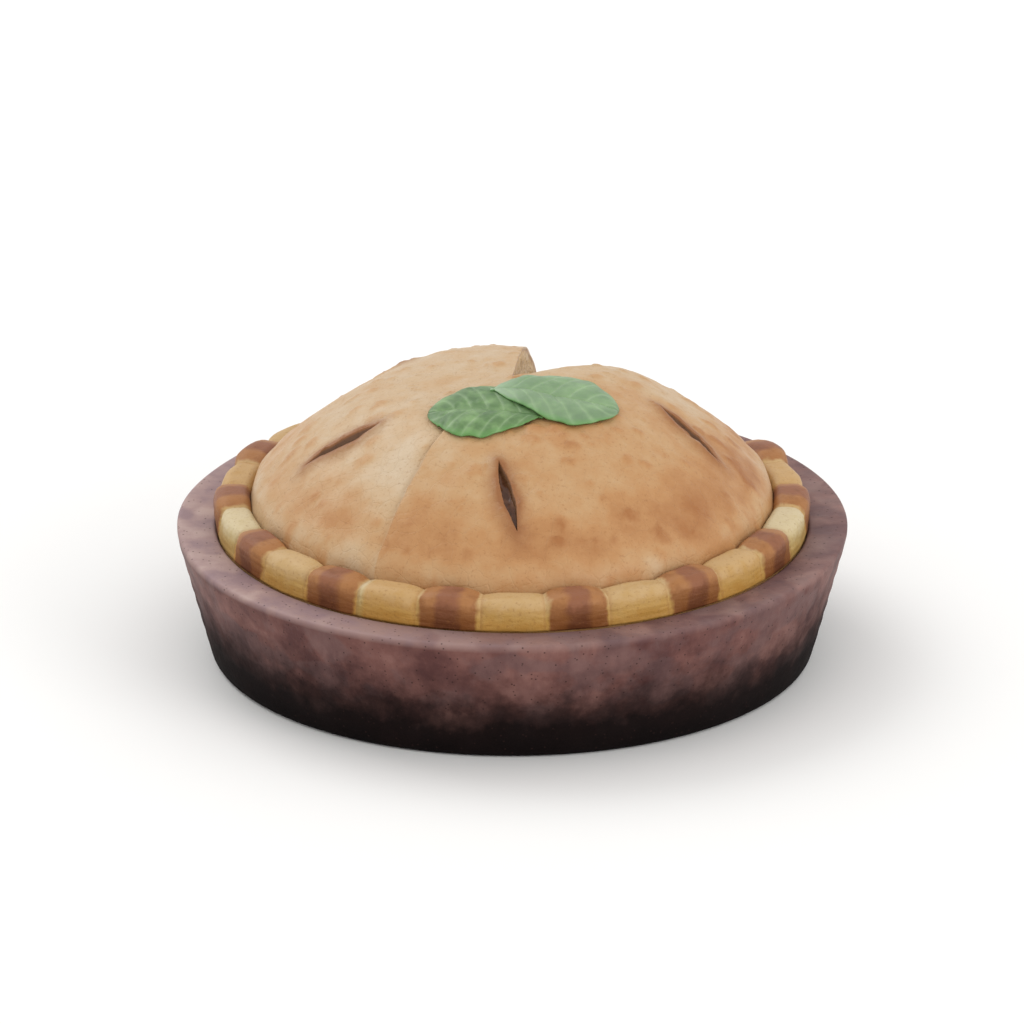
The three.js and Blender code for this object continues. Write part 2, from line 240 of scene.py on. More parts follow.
def keep(piece, name, values):
    """One number for each vertex, for materials to read by its name."""
    layer = piece.data.attributes.new(name, "FLOAT", "POINT")
    layer.data.foreach_set("value", values)


def keep_reach(piece):
    """Notes each corner's distance from the axis before a spin."""
    keep(piece, "reach", [math.hypot(vertex.co.x, vertex.co.y) for vertex in piece.data.vertices])


def thrown(name, outline, sides, cuts):
    """A half outline, extruded point by point as by hand and spun once round."""
    bpy.ops.object.select_all(action="DESELECT")
    bpy.ops.mesh.primitive_plane_add(size=MM)
    piece = bpy.context.object
    piece.name = piece.data.name = name
    bpy.ops.object.mode_set(mode="EDIT")
    bpy.ops.mesh.select_all(action="SELECT")
    bpy.ops.mesh.merge(type="CENTER")
    bpy.ops.transform.translate(value=(0, -outline[0].x * MM, outline[0].y * MM))
    for a, b in zip(outline, outline[1:]):
        step = (0, -(b.x - a.x) * MM, (b.y - a.y) * MM)
        bpy.ops.mesh.extrude_region_move(TRANSFORM_OT_translate={"value": step})
    bpy.ops.object.mode_set(mode="OBJECT")
    keep_reach(piece)
    spun_finely(piece, sides // (cuts + 1), 2 * math.pi, cuts)
    return piece


dish = thrown("stoneware_dish", stepped(rounded([
    (0, 0, 0),
    (FOOT_RADIUS, 0, FOOT_ROUNDING),
    (RIM_RADIUS, DISH_HEIGHT, RIM_ROUNDING),
    (RIM_RADIUS - RIM_WIDTH, DISH_HEIGHT, RIM_ROUNDING / 2),
    (WELL_RADIUS, FLOOR_THICKNESS, WELL_FILLET),
    (0, FLOOR_THICKNESS, 0),
]), PROFILE_STEP), DISH_SIDES, DISH_CUTS)

# The thrower's fingers leave faint rings on the wall, and the rim is not quite true.
for vertex in dish.data.vertices:
    place = vertex.co / MM
    radius = math.hypot(place.x, place.y)
    if radius < FOOT_RADIUS - 6 or place.z < 0.4:
        continue
    way = Vector((place.x, place.y, 0)) / radius
    rings = math.sin(place.z / THROWING_RING * 2 * math.pi + noise.noise(place / 60) * 2)
    wobble = WOBBLE * noise.noise(place / 38) + RING_DEPTH * rings * smooth(place.z, 4, 12)
    sway = RIM_SWAY * noise.noise(way * 2.1) * smooth(place.z, 30, DISH_HEIGHT)
    vertex.co += (way * wobble * (1 if radius > RIM_RADIUS - 12 else 0) + Vector((0, 0, sway))) * MM

SLICE_BEARINGS = (122.4, 173.9)


def residue(place):
    """Burnt-on gravy and fat, where the slice stood in the dish."""
    bearing = bearing_of(place) % 360
    inside = smooth(bearing, SLICE_BEARINGS[0] - 1, SLICE_BEARINGS[0] + 1)
    inside *= 1 - smooth(bearing, SLICE_BEARINGS[1] - 1, SLICE_BEARINGS[1] + 1)
    blotch = 0.5 + noise.noise(place / 11) + 0.4 * noise.noise(place / 4)
    in_well = math.hypot(place.x, place.y) < RIM_RADIUS - RIM_WIDTH + 0.5 and place.z > 5
    return inside * blotch * (1 - smooth(place.z, 36, 49)) if in_well else 0


def paint(piece, name, value_at):
    """A number for each vertex, worked out from its place in mm."""
    keep(piece, name, [value_at(vertex.co / MM) for vertex in piece.data.vertices])


paint(dish, "residue", residue)
paint(dish, "outside", lambda place: smooth(math.hypot(place.x, place.y) - 0.1 * place.z, 103.5, 106))

# Matte reactive glaze over stoneware: hardly any mirror, with mottled patches, iron
# specks, a thin pale rim under a painted sheen that is strongest on the left, and a
# dry foot that is nearly black, partly smoked glaze and partly painted shade.
stoneware, add, shader = new_material("matte glazed stoneware")
MOTTLE_SIZE = 13 * MM
PATCH_SIZE = 16 * MM
STREAK_WIDTH = 5 * MM
SMOKED_AND_SHADED_HEIGHT = 40 * MM
SOOT_AND_SHADE_WAVER = 4.5 * MM
PAINTED_SHEEN_WAVER = 40 * MM
SPECK_SPACING = 2.6 * MM
GLAZE_GRIT = 0.8 * MM
spot = add("TexCoord").outputs["Object"]
place_in = add("SeparateXYZ", {0: spot})
height = place_in.outputs["Z"]
mottle = add("TexNoise", {"Vector": spot, "Scale": 1 / MOTTLE_SIZE, "Detail": 5.0, "Roughness": 0.6})
patches = add("TexVoronoi", {
    "Vector": add("Mapping", {"Vector": spot, "Scale": (1.0, 1.0, 1.5)}), "Scale": 1 / PATCH_SIZE,
    "Randomness": 1.0, "Smoothness": 0.35,
}, feature="SMOOTH_F1")
patchy = add("SeparateColor", {
    0: add("Mix", {0: 0.25, 6: mottle.outputs["Color"], 7: patches.outputs["Color"]}, data_type="RGBA"),
})
glaze = add("ValToRGB", {0: patchy}, stops=[
    (0.34, "#593734"), (0.45, "#68443f"), (0.54, "#734d47"), (0.68, "#825c55"),
])
greyed = add("Mix", {
    0: add("MapRange", {0: patchy.outputs[1], 1: 0.47, 2: 0.6, 3: 0.0, 4: 0.5}), 6: glaze,
    7: linear("#6a5352"),
}, data_type="RGBA")
streaks = add("TexNoise", {
    "Vector": add("Mapping", {"Vector": spot, "Scale": (1.0, 1.0, 0.28)}), "Scale": 1 / STREAK_WIDTH,
    "Detail": 3.0, "Roughness": 0.6,
})
streaked = add("Mix", {
    0: add("MapRange", {0: streaks, 1: 0.45, 2: 0.75, 3: 0.0, 4: 0.4}), 6: greyed, 7: linear("#4d3133"),
}, data_type="RGBA")
# Painted shade and smoke: the outside wall darkens to nearly black towards the foot.
soot_and_shade_edge = add("Math", {
    0: height, 1: add("MapRange", {0: mottle, 1: 0.3, 2: 0.7, 3: -SOOT_AND_SHADE_WAVER, 4: SOOT_AND_SHADE_WAVER}),
}, operation="ADD")
soot_and_shade = add("ValToRGB", {0: add("MapRange", {0: soot_and_shade_edge, 1: 0.0, 2: SMOKED_AND_SHADED_HEIGHT})}, stops=[
    (0.0, "#000000"), (0.3, "#303030"), (0.5, "#7c7c7c"), (0.75, "#dcdcdc"), (1.0, "#ffffff"),
])
clear_of_soot_and_shade = add("Math", {
    0: soot_and_shade,
    1: add("MapRange", {0: add("Attribute", attribute_name="outside").outputs["Fac"], 3: 1.0, 4: 0.0}),
}, operation="MAXIMUM")
smoked_and_shaded = add("Mix", {0: clear_of_soot_and_shade, 6: linear("#090303"), 7: streaked}, data_type="RGBA")
# Painted sheen: the rim is painted paler, most of all on the left, for a grazing reflection.
rim_share = add("MapRange", {0: height, 1: 46.5 * MM, 2: 49.5 * MM})
painted_rim_sheen = add("MapRange", {
    0: add("Math", {
        0: place_in.outputs["X"],
        1: add("MapRange", {0: mottle, 1: 0.3, 2: 0.7, 3: -PAINTED_SHEEN_WAVER, 4: PAINTED_SHEEN_WAVER}),
    }, operation="ADD"),
    1: -95 * MM, 2: 25 * MM, 3: 1.0, 4: 0.25,
})
pale_rim_and_sheen = add("ValToRGB", {0: patchy}, stops=[(0.36, "#947b7d"), (0.5, "#a78c88"), (0.64, "#b69d96")])
thin_glaze_and_sheen = add("Mix", {
    0: add("Math", {0: rim_share, 1: painted_rim_sheen}, operation="MULTIPLY"), 6: smoked_and_shaded, 7: pale_rim_and_sheen,
}, data_type="RGBA")
specks = add("TexVoronoi", {"Vector": spot, "Scale": 1 / SPECK_SPACING, "Randomness": 1.0})
iron = add("Mix", {
    0: add("MapRange", {0: specks, 1: 0.10, 2: 0.17, 3: 0.7, 4: 0.0}), 6: thin_glaze_and_sheen,
    7: linear("#2a1a18"),
}, data_type="RGBA")
greasy = add("Mix", {
    0: add("MapRange", {
        0: add("Attribute", attribute_name="residue").outputs["Fac"], 1: 0.2, 2: 0.8, 3: 0.0, 4: 0.75,
    }),
    6: iron, 7: linear("#5a3826"),
}, data_type="RGBA")
grit = add("TexNoise", {"Vector": spot, "Scale": 1 / GLAZE_GRIT, "Detail": 2.0})
dimples = add("Bump", {
    "Height": grit, "Strength": 0.35, "Distance": 0.25 * MM,
    "Normal": add("Bump", {"Height": mottle, "Strength": 0.5, "Distance": 1.2 * MM}),
})
dryness = add("MapRange", {0: clear_of_soot_and_shade, 3: 0.9, 4: 0.5})
feed(shader, {
    "Base Color": greasy, "Normal": dimples, "Roughness": dryness, "IOR": 1.5, "Specular IOR Level": 0.12,
})
dish.data.materials.append(stoneware)
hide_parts("dish")
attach(dish, "root")

# ------------------------------------------------------------------ pastry case
# Shortcrust rolled out 5 mm thick, that lines the dish and stands up to its rim. It
# shows only where the slice was taken out: pale and layered, browner where it met
# the dish, and soaked with gravy on its inside.
GAP = 0.05
CASE_THICKNESS = 5
PINCH_HEIGHT = DISH_HEIGHT - 7.6
BORDER_INNER_RADIUS = 97.1
BAKED_SWEEP = 360 - (SLICE_BEARINGS[1] - SLICE_BEARINGS[0])
CASE_FLOOR = FLOOR_THICKNESS + GAP + CASE_THICKNESS
CASE_TUCK = 1.6
CASE_RINGS, CASE_LAYERS, CASE_STEPS, CASE_CUTS = 110, 8, 90, 2
TORN_DEPTH = 6


def well_radius(at_height):
    """The inner radius of the dish's wall at a height."""
    share = (at_height - FLOOR_THICKNESS) / (DISH_HEIGHT - FLOOR_THICKNESS)
    return mix(WELL_RADIUS, RIM_RADIUS - RIM_WIDTH, share)


def along(outline, share):
    """The point that lies at that share of an outline's length."""
    lengths = [(b - a).length for a, b in zip(outline, outline[1:])]
    left = share * sum(lengths)
    for a, b, length in zip(outline, outline[1:], lengths):
        if left <= length:
            return mix(a, b, left / length)
        left -= length
    return outline[-1].copy()


def new_grid(name, columns, rows):
    """A flat grid two units wide, alone selected, to be given its shape corner by corner."""
    bpy.ops.object.select_all(action="DESELECT")
    bpy.ops.mesh.primitive_grid_add(x_subdivisions=columns, y_subdivisions=rows, size=2)
    piece = bpy.context.object
    piece.name = piece.data.name = name
    return piece


def baked_round(name, section_at, rings, layers, steps, cuts):
    """A filled half section of rings by layers, spun from one side of the missing
    slice round to the other. section_at gives the radius and height at two shares,
    and the second of them is kept as the attribute across."""
    piece = new_grid(name, rings, layers)
    start = outward(SLICE_BEARINGS[1])
    keep(piece, "across", [(vertex.co.y + 1) / 2 for vertex in piece.data.vertices])
    for vertex in piece.data.vertices:
        point = section_at((vertex.co.x + 1) / 2, (vertex.co.y + 1) / 2)
        vertex.co = (start * point.x + Vector((0, 0, point.y))) * MM
    keep_reach(piece)
    spun_finely(piece, steps // (cuts + 1), -math.radians(BAKED_SWEEP), cuts)
    return piece


def polar(place):
    """Radius, and bearing counted up from the start of the baked sweep, of a place in mm."""
    bearing = bearing_of(place) % 360
    if bearing < SLICE_BEARINGS[1] - 2:
        bearing += 360
    return math.hypot(place.x, place.y), bearing


def from_cut(radius, bearing):
    """Distance in mm, along the round, to the nearer cut face, and the way into the
    pie from that face."""
    first = radius * math.radians(bearing - SLICE_BEARINGS[1])
    last = radius * math.radians(SLICE_BEARINGS[0] + 360 - bearing)
    if first < last:
        return first, outward(SLICE_BEARINGS[1] + 90)
    return last, outward(SLICE_BEARINGS[0] - 90)


case_outside = rounded([
    (0, FLOOR_THICKNESS + GAP, 0),
    (WELL_RADIUS - GAP, FLOOR_THICKNESS + GAP, WELL_FILLET),
    (well_radius(DISH_HEIGHT - CASE_TUCK) - GAP, DISH_HEIGHT - CASE_TUCK, 0),
    (RIM_RADIUS - RIM_WIDTH - CASE_TUCK, DISH_HEIGHT, 0),
])
case_inside = rounded([
    (0, CASE_FLOOR, 0),
    (well_radius(CASE_FLOOR) - GAP - CASE_THICKNESS, CASE_FLOOR, CASE_THICKNESS),
    (well_radius(PINCH_HEIGHT) - GAP - CASE_THICKNESS, PINCH_HEIGHT, 0),
    (BORDER_INNER_RADIUS, DISH_HEIGHT, 0),
])
case = baked_round("pastry_case", lambda u, w: mix(along(case_outside, u), along(case_inside, u), w),
                   CASE_RINGS, CASE_LAYERS, CASE_STEPS, CASE_CUTS)

# The knife tore the short layers a little, so the cut is flaky.
for vertex in case.data.vertices:
    place = vertex.co / MM
    radius, bearing = polar(place)
    depth, inwards = from_cut(radius, bearing)
    torn = 0.5 * abs(noise.noise(place / 2.2)) + 0.35 * noise.noise(place / 6)
    vertex.co += inwards * torn * (1 - smooth(depth, 0, TORN_DEPTH)) * smooth(radius, 2, 8) * MM

paint(case, "soaked", lambda place: smooth(place.z, CASE_FLOOR - 2.5, CASE_FLOOR + 0.2) * (
    1 - smooth(math.hypot(place.x, place.y), 92, 99)))

# Shortcrust in section: matte, grainy, layered, browned against the dish and gravy-soaked.
shortcrust, add, shader = new_material("cut shortcrust pastry")
CRUMB_SIZE = 1.3 * MM
LAYER_HEIGHT = 1.5 * MM
spot = add("TexCoord").outputs["Object"]
layers = add("TexNoise", {
    "Vector": add("Mapping", {"Vector": spot, "Scale": (0.35, 0.35, 1.0)}), "Scale": 1 / LAYER_HEIGHT,
    "Detail": 3.0, "Roughness": 0.6,
})
short = add("ValToRGB", {0: layers}, stops=[
    (0.32, "#a8814f"), (0.46, "#c6a16c"), (0.58, "#d8bb8a"), (0.72, "#e4cda2"),
])
against_dish = add("Attribute", attribute_name="across").outputs["Fac"]
fried = add("Mix", {
    0: add("MapRange", {0: against_dish, 1: 0.02, 2: 0.24, 3: 0.85, 4: 0.0}), 6: short,
    7: linear("#a0703a"),
}, data_type="RGBA")
soak = add("Attribute", attribute_name="soaked").outputs["Fac"]
soaked = add("Mix", {
    0: add("Math", {0: soak, 1: 0.75}, operation="MULTIPLY"), 6: fried, 7: linear("#8f6238"),
}, data_type="RGBA")
crumb = add("TexNoise", {"Vector": spot, "Scale": 1 / CRUMB_SIZE, "Detail": 3.0, "Roughness": 0.65})
grain = add("Bump", {
    "Height": crumb, "Strength": 0.6, "Distance": 0.6 * MM,
    "Normal": add("Bump", {"Height": layers, "Strength": 0.6, "Distance": 0.8 * MM}),
})
feed(shader, {"Base Color": soaked, "Normal": grain, "Roughness": 0.72})
case.data.materials.append(shortcrust)
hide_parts("base_crust")
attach(case, "root")

# ------------------------------------------------------------------ filling
# Chunks of slow-cooked meat in thick gravy, filled right up under the lid and cut
# straight down where the slice was. On the two cut faces each chunk stands out by
# its own amount, and the gravy between them lies deepest.
LID_UNDERSIDE = [(0, 87.4), (30, 87.2), (52, 84.8), (65.7, 79.6), (79, 70.6), (87.5, 61.5)]
UNDERSIDE_END = LID_UNDERSIDE[-1][0]
UNDERSIDE_RADII = range(0, 88, 2)
LID_RADIUS = 97
LID_EDGE_WIDTH = 5.5
CHUNK_LENGTH = 15
CHUNK_HEIGHT = 11
CHUNK_SHARE = 0.88
SCRAP_LENGTH = 5
SCRAP_SHARE = 0.6
BLUNTNESS = 2.6
JOINT_WIDTH = 0.13
CHUNK_RELIEF = 1.8
CUT_DEPTH = 9
FILLING_RINGS, FILLING_LAYERS, FILLING_STEPS, FILLING_CUTS = 138, 90, 48, 2


def curve_height(points, radius):
    """Height at a radius of the smooth curve through points (radius, height)."""
    last = len(points) - 1
    i = next((k for k in range(last) if radius <= points[k + 1][0]), last - 1)
    at = [Vector(points[min(max(k, 0), last)]) for k in range(i - 1, i + 3)]
    span = at[2].x - at[1].x
    share = min(max((radius - at[1].x) / span, 0), 1)
    slope_in = (at[2].y - at[0].y) / max(at[2].x - at[0].x, 1e-6) * span
    slope_out = (at[3].y - at[1].y) / max(at[3].x - at[1].x, 1e-6) * span
    if i == 0:
        slope_in = 0
    cube, square = share ** 3, share ** 2
    return ((2 * cube - 3 * square + 1) * at[1].y + (cube - 2 * square + share) * slope_in
            + (3 * square - 2 * cube) * at[2].y + (cube - square) * slope_out)


def scatter(i, j, salt):
    """Repeatable scatter between 0 and 1 for a whole-number cell."""
    value = math.sin(i * 127.1 + j * 311.7 + salt * 74.7) * 43758.5453
    return value - math.floor(value)


def lumps_at(distance, at_height, length, height, present, salt):
    """The two lumps of one size nearest to a spot on a cut face, each as how far out
    the spot lies in it, 1 at its edge, and its tone. Lumps are tilted ovals that lie
    unevenly, one to a cell, and some cells are empty."""
    cell_x, cell_y = math.floor(distance / length), math.floor(at_height / height)
    found = [(9.0, 0.0), (9.0, 0.0)]
    for i in range(cell_x - 1, cell_x + 2):
        for j in range(cell_y - 1, cell_y + 2):
            if scatter(i, j, salt) > present:
                continue
            x = distance - (i + 0.18 + 0.64 * scatter(i, j, salt + 1)) * length
            y = at_height - (j + 0.18 + 0.64 * scatter(i, j, salt + 2)) * height
            turn = 2.4 * (scatter(i, j, salt + 3) - 0.5)
            reach = length * (0.32 + 0.42 * scatter(i, j, salt + 4))
            slim = 0.5 + 0.45 * scatter(i, j, salt + 5)
            along_it = (x * math.cos(turn) + y * math.sin(turn)) / reach
            across_it = (y * math.cos(turn) - x * math.sin(turn)) / (reach * slim)
            out = (abs(along_it) ** BLUNTNESS + abs(across_it) ** BLUNTNESS) ** (1 / BLUNTNESS)
            found.append((out, scatter(i, j, salt + 6)))
    found.sort()
    return found[0], found[1]


def chunk_at(distance, at_height):
    """What the knife met at a spot on a cut face: how far out in its chunk it lies, the
    chunk's tone, and 0 in meat to 1 in gravy. Small scraps fill some of the gravy."""
    (out, tone), (next_out, _) = lumps_at(distance, at_height, CHUNK_LENGTH, CHUNK_HEIGHT, CHUNK_SHARE, 1)
    if out > 1.05:
        (out, tone), (next_out, _) = lumps_at(
            distance, at_height, SCRAP_LENGTH, SCRAP_LENGTH, SCRAP_SHARE, 11)
    between = 1 - smooth(next_out - out, 0, JOINT_WIDTH)
    return out, tone, max(smooth(out, 0.9, 1.04), between)


# A noise vector shifts its pattern by chance, which is seeded here.
noise.seed_set(7)


def cut_spot(place):
    """A place's distance along the cut face nearer to it, shifted apart for each face,
    and its height, both pulled about so that no chunk has straight sides."""
    radius, bearing = polar(place)
    side = 1 if bearing > (SLICE_BEARINGS[1] + SLICE_BEARINGS[0] + 360) / 2 else -1
    pull = noise.noise_vector(place / 9) * 3.2 + noise.noise_vector(place / 3) * 1.1
    return radius + side * CHUNK_LENGTH * 40 + pull.x, place.z + pull.z


filling_top = [Vector((max(r - GAP, 0), curve_height(LID_UNDERSIDE, r) - GAP)) for r in UNDERSIDE_RADII] + [
    Vector((LID_RADIUS - LID_EDGE_WIDTH - GAP, DISH_HEIGHT)),
    Vector((BORDER_INNER_RADIUS - 1.5 * GAP, DISH_HEIGHT)),
    Vector((well_radius(PINCH_HEIGHT) - 2 * GAP - CASE_THICKNESS, PINCH_HEIGHT)),
]
filling_floor = [Vector((0, CASE_FLOOR + GAP)),
                 Vector((well_radius(CASE_FLOOR) - 2 * GAP - CASE_THICKNESS, CASE_FLOOR + GAP))]
filling = baked_round("meat_filling", lambda u, w: mix(along(filling_floor, u), along(filling_top, u), w),
                      FILLING_RINGS, FILLING_LAYERS, FILLING_STEPS, FILLING_CUTS)
corner_radius = well_radius(CASE_FLOOR) - 2 * GAP - 2 * CASE_THICKNESS
corner_height = CASE_FLOOR + GAP + CASE_THICKNESS
in_gravy, chunk_tone, seared = [], [], []
for vertex in filling.data.vertices:
    place = vertex.co / MM
    radius, bearing = polar(place)
    corner = Vector((radius - corner_radius, place.z - corner_height))
    if corner.x > 0 and corner.y < 0 and corner.length > CASE_THICKNESS:
        corner *= CASE_THICKNESS / corner.length
        way = outward(bearing)
        place = way * (corner_radius + corner.x) + Vector((0, 0, corner_height + corner.y))
    depth, inwards = from_cut(radius, bearing)
    out, tone, joint = chunk_at(*cut_spot(place)) if depth < CUT_DEPTH else (0, 0, 1)
    in_gravy.append(joint)
    chunk_tone.append(tone)
    seared.append(smooth(out, 0.55, 0.95))
    standing = 0.75 * (1 - tone) + 0.5 * min(out, 1) ** 3
    shreds = 0.45 * noise.noise(place / 2.6) + 0.3 * noise.turbulence(place / 1.6, 2, False)
    gravy_level = CHUNK_RELIEF * (0.72 + 0.3 * noise.noise(place / 15))
    recess = mix(standing + shreds, gravy_level, joint)
    vertex.co = (place + inwards * max(recess, 0.1) * (1 - smooth(depth, 0, CUT_DEPTH))
                 * smooth(radius, 0.5, 7)) * MM

keep(filling, "gravy", in_gravy)
keep(filling, "chunk", chunk_tone)
keep(filling, "seared", seared)
paint(filling, "under_lid", lambda place: 1 - smooth(
    curve_height(LID_UNDERSIDE, min(polar(place)[0], UNDERSIDE_END)) - place.z, 1.0, 5.0))

# Braised meat: dull fibrous chunks, tan to reddish brown, in a glossy starch-thick
# gravy that has set like jelly in the joints.
meat, add, shader = new_material("braised meat in gravy")
FIBRE_WIDTH = 0.9 * MM
spot = add("TexCoord").outputs["Object"]
chunk = add("Attribute", attribute_name="chunk").outputs["Fac"]
gravy = add("Attribute", attribute_name="gravy").outputs["Fac"]
under_lid = add("Attribute", attribute_name="under_lid").outputs["Fac"]
fibre_turn = add("CombineXYZ", {
    0: add("Math", {0: chunk, 1: 5.0}, operation="MULTIPLY"),
    1: add("Math", {0: chunk, 1: 9.0}, operation="MULTIPLY"),
})
fibre_place = add("VectorRotate", {"Vector": spot, "Rotation": fibre_turn}, rotation_type="EULER_XYZ")
fibres = add("TexNoise", {
    "Vector": add("Mapping", {"Vector": fibre_place, "Scale": (0.16, 1.0, 1.0)}),
    "Scale": 1 / FIBRE_WIDTH, "Detail": 3.0, "Roughness": 0.6, "Distortion": 0.3,
})
tone = add("ValToRGB", {0: chunk}, stops=[
    (0.0, "#946750"), (0.3, "#b68b69"), (0.55, "#a1765c"), (0.8, "#ba8e70"), (1.0, "#c2997c"),
])
fibred = add("Mix", {
    0: add("MapRange", {0: fibres, 1: 0.38, 2: 0.62, 3: 0.0, 4: 0.55}), 6: tone, 7: linear("#7c5139"),
}, data_type="RGBA")
browned_edge = add("Mix", {
    0: add("MapRange", {0: add("Attribute", attribute_name="seared").outputs["Fac"], 3: 0.0, 4: 0.55}),
    6: fibred, 7: linear("#714630"),
}, data_type="RGBA")
pool = add("TexNoise", {"Vector": spot, "Scale": 1 / (6 * MM), "Detail": 3.0})
sauced_share = add("Math", {
    0: gravy, 1: add("MapRange", {0: pool, 1: 0.5, 2: 0.7, 3: 0.0, 4: 0.5}),
}, operation="MAXIMUM")
sauced = add("Mix", {0: sauced_share, 6: browned_edge, 7: linear("#70442a")}, data_type="RGBA")
topped = add("Mix", {
    0: add("Math", {0: under_lid, 1: 0.6}, operation="MULTIPLY"), 6: sauced, 7: linear("#7a5546"),
}, data_type="RGBA")
wet = add("MapRange", {0: sauced_share, 3: 0.5, 4: 0.16})
torn_fibres = add("Bump", {"Height": fibres, "Strength": 0.55, "Distance": 0.7 * MM})
feed(shader, {"Base Color": topped, "Roughness": wet, "Normal": torn_fibres, "IOR": 1.42})
filling.data.materials.append(meat)
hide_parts("filling")
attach(filling, "root")

# ------------------------------------------------------------------ lid
# One sheet of rough puff pastry, some 20 mm thick once baked, domed over the meat and
# lapped over itself along one line. It was brushed with egg, slit for the steam and
# baked until it blistered, with darker pastry where it is thin or close to a slit.
LID_TOP = [(0, 107.2), (20, 106.7), (39, 104.4), (53, 99.4), (65.7, 91.5),
           (79, 82.2), (90, 72.0), (95.6, 65), (LID_RADIUS, 59.2)]
LID_THICKNESS = 20
LID_SWELL = 0.5
PLEAT_DEPTH = 0.5
PUFF_HEIGHT = 0.7
WRINKLE_HEIGHT = 0.25
BLISTER_SPACING = 9
BLISTER_SHARE = 0.62
BLISTER_RADIUS = 4.6
BLISTER_HEIGHT = 0.8
LAP_BEARING = -31.9
LAP_HEIGHT = 1.6
LAP_GROOVE = 0.35
LAP_FADE = 16
LAP_START_RADIUS = 30
LAP_CROWDING = 9
FLAKE_RELIEF = 0.8
SLIT_LENGTH = 27
SLIT_WIDTH = 5.5
SLIT_TAPER = 0.45
SLIT_CORNERS = 44
SLIT_REACH = 45
LIP_HEIGHT = 0.9
LIP_DIP = 0.5
SLITS = [(-1.2, 70.5, 16), (-69.4, 67.3, -22), (79.1, 66.9, -25), (-141, 67.5, -20)]
CRIMP_PITCH = 360 / 14
LID_RINGS, LID_LAYERS, LID_STEPS, LID_CUTS = 96, 26, 280, 7
UPRIGHT_EDGE_FROM = 0.95

lid_underside = [Vector((r, curve_height(LID_UNDERSIDE, r))) for r in UNDERSIDE_RADII] + [
    Vector((LID_RADIUS - LID_EDGE_WIDTH, DISH_HEIGHT + GAP))]
lid_top = [Vector((r / 3, curve_height(LID_TOP, r / 3))) for r in range(3 * LID_RADIUS + 1)]
lid_edge = Vector((LID_RADIUS, DISH_HEIGHT + GAP))


def lid_section(u, w):
    """Underside at w = 0 and top at w = 1. The outermost ring is the lid's upright edge."""
    under = along(lid_underside, min(u / UPRIGHT_EDGE_FROM, 1))
    if u > UPRIGHT_EDGE_FROM:
        under = mix(lid_underside[-1], lid_edge, (u - UPRIGHT_EDGE_FROM) / (1 - UPRIGHT_EDGE_FROM))
    return mix(under, along(lid_top, u), w)


lid = baked_round("pastry_lid", lid_section, LID_RINGS, LID_LAYERS, LID_STEPS, LID_CUTS)


def slit_frame(slit):
    """A slit's middle, the way it runs and the way across it."""
    bearing, radius, skew = slit
    way = outward(bearing + skew)
    return outward(bearing) * radius, way, Vector((-way.y, way.x, 0))


slit_frames = [slit_frame(slit) for slit in SLITS]


def slit_distance(place):
    """How far a place is from the nearest slit's edge, in mm, and 0 inside it."""
    nearest = 1e3
    for middle, way, across in slit_frames:
        x, y = place.x - middle.x, place.y - middle.y
        if x * x + y * y > SLIT_REACH ** 2:
            continue
        run = (x * way.x + y * way.y) / (SLIT_LENGTH / 2)
        half_width = SLIT_WIDTH / 2 * max(1 - run * run, 0)
        beyond = max(abs(run) - 1, 0) * SLIT_LENGTH / 2
        nearest = min(nearest, math.hypot(max(abs(x * across.x + y * across.y) - half_width, 0), beyond))
    return nearest


# Columns crowd up to the lap, so that its edge is crisp.
for vertex in lid.data.vertices:
    radius, bearing = polar(vertex.co / MM)
    off = bearing - (LAP_BEARING + 360)
    if abs(off) < LAP_CROWDING and radius > LAP_START_RADIUS / 2:
        crowded = math.copysign((abs(off) / LAP_CROWDING) ** 1.9 * LAP_CROWDING, off)
        share = smooth(radius, LAP_START_RADIUS / 2, LAP_START_RADIUS)
        way = outward(LAP_BEARING + mix(off, crowded, share)) * radius * MM
        vertex.co.x, vertex.co.y = way.x, way.y


def pick(pieces):
    """Selects these pieces alone, with the first one active."""
    bpy.ops.object.select_all(action="DESELECT")
    for piece in pieces:
        piece.select_set(True)
    bpy.context.view_layer.objects.active = pieces[0]


# The pastry round each slit is cut up finer, so that its lips can curl.
pick([lid])
bpy.ops.object.mode_set(mode="EDIT")
bpy.ops.mesh.select_all(action="DESELECT")
bpy.ops.object.mode_set(mode="OBJECT")
for face in lid.data.polygons:
    face.select = face.normal.z > 0.2 and slit_distance(face.center / MM) < 5
bpy.ops.object.mode_set(mode="EDIT")
bpy.ops.mesh.subdivide(number_cuts=2)
bpy.ops.object.mode_set(mode="OBJECT")


def blister(flat):
    """0 on plain pastry to 1 on top of the largest blisters, which lie unevenly, one
    to a cell, and are never quite round."""
    cell_x, cell_y = math.floor(flat.x / BLISTER_SPACING), math.floor(flat.y / BLISTER_SPACING)
    waver = 1 + 0.5 * noise.noise(flat / 2.2)
    highest = 0
    for i in range(cell_x - 1, cell_x + 2):
        for j in range(cell_y - 1, cell_y + 2):
            if scatter(i, j, 21) > BLISTER_SHARE:
                continue
            size = mix(0.25, 1, scatter(i, j, 22) ** 2)
            x = flat.x - (i + scatter(i, j, 23)) * BLISTER_SPACING
            y = flat.y - (j + scatter(i, j, 24)) * BLISTER_SPACING
            out = math.hypot(x, y * mix(1, 1.7, scatter(i, j, 25))) / (size * BLISTER_RADIUS) * waver
            highest = max(highest, (0.35 + 0.65 * size) * smooth(1.1 - out, 0, 0.75))
    return highest


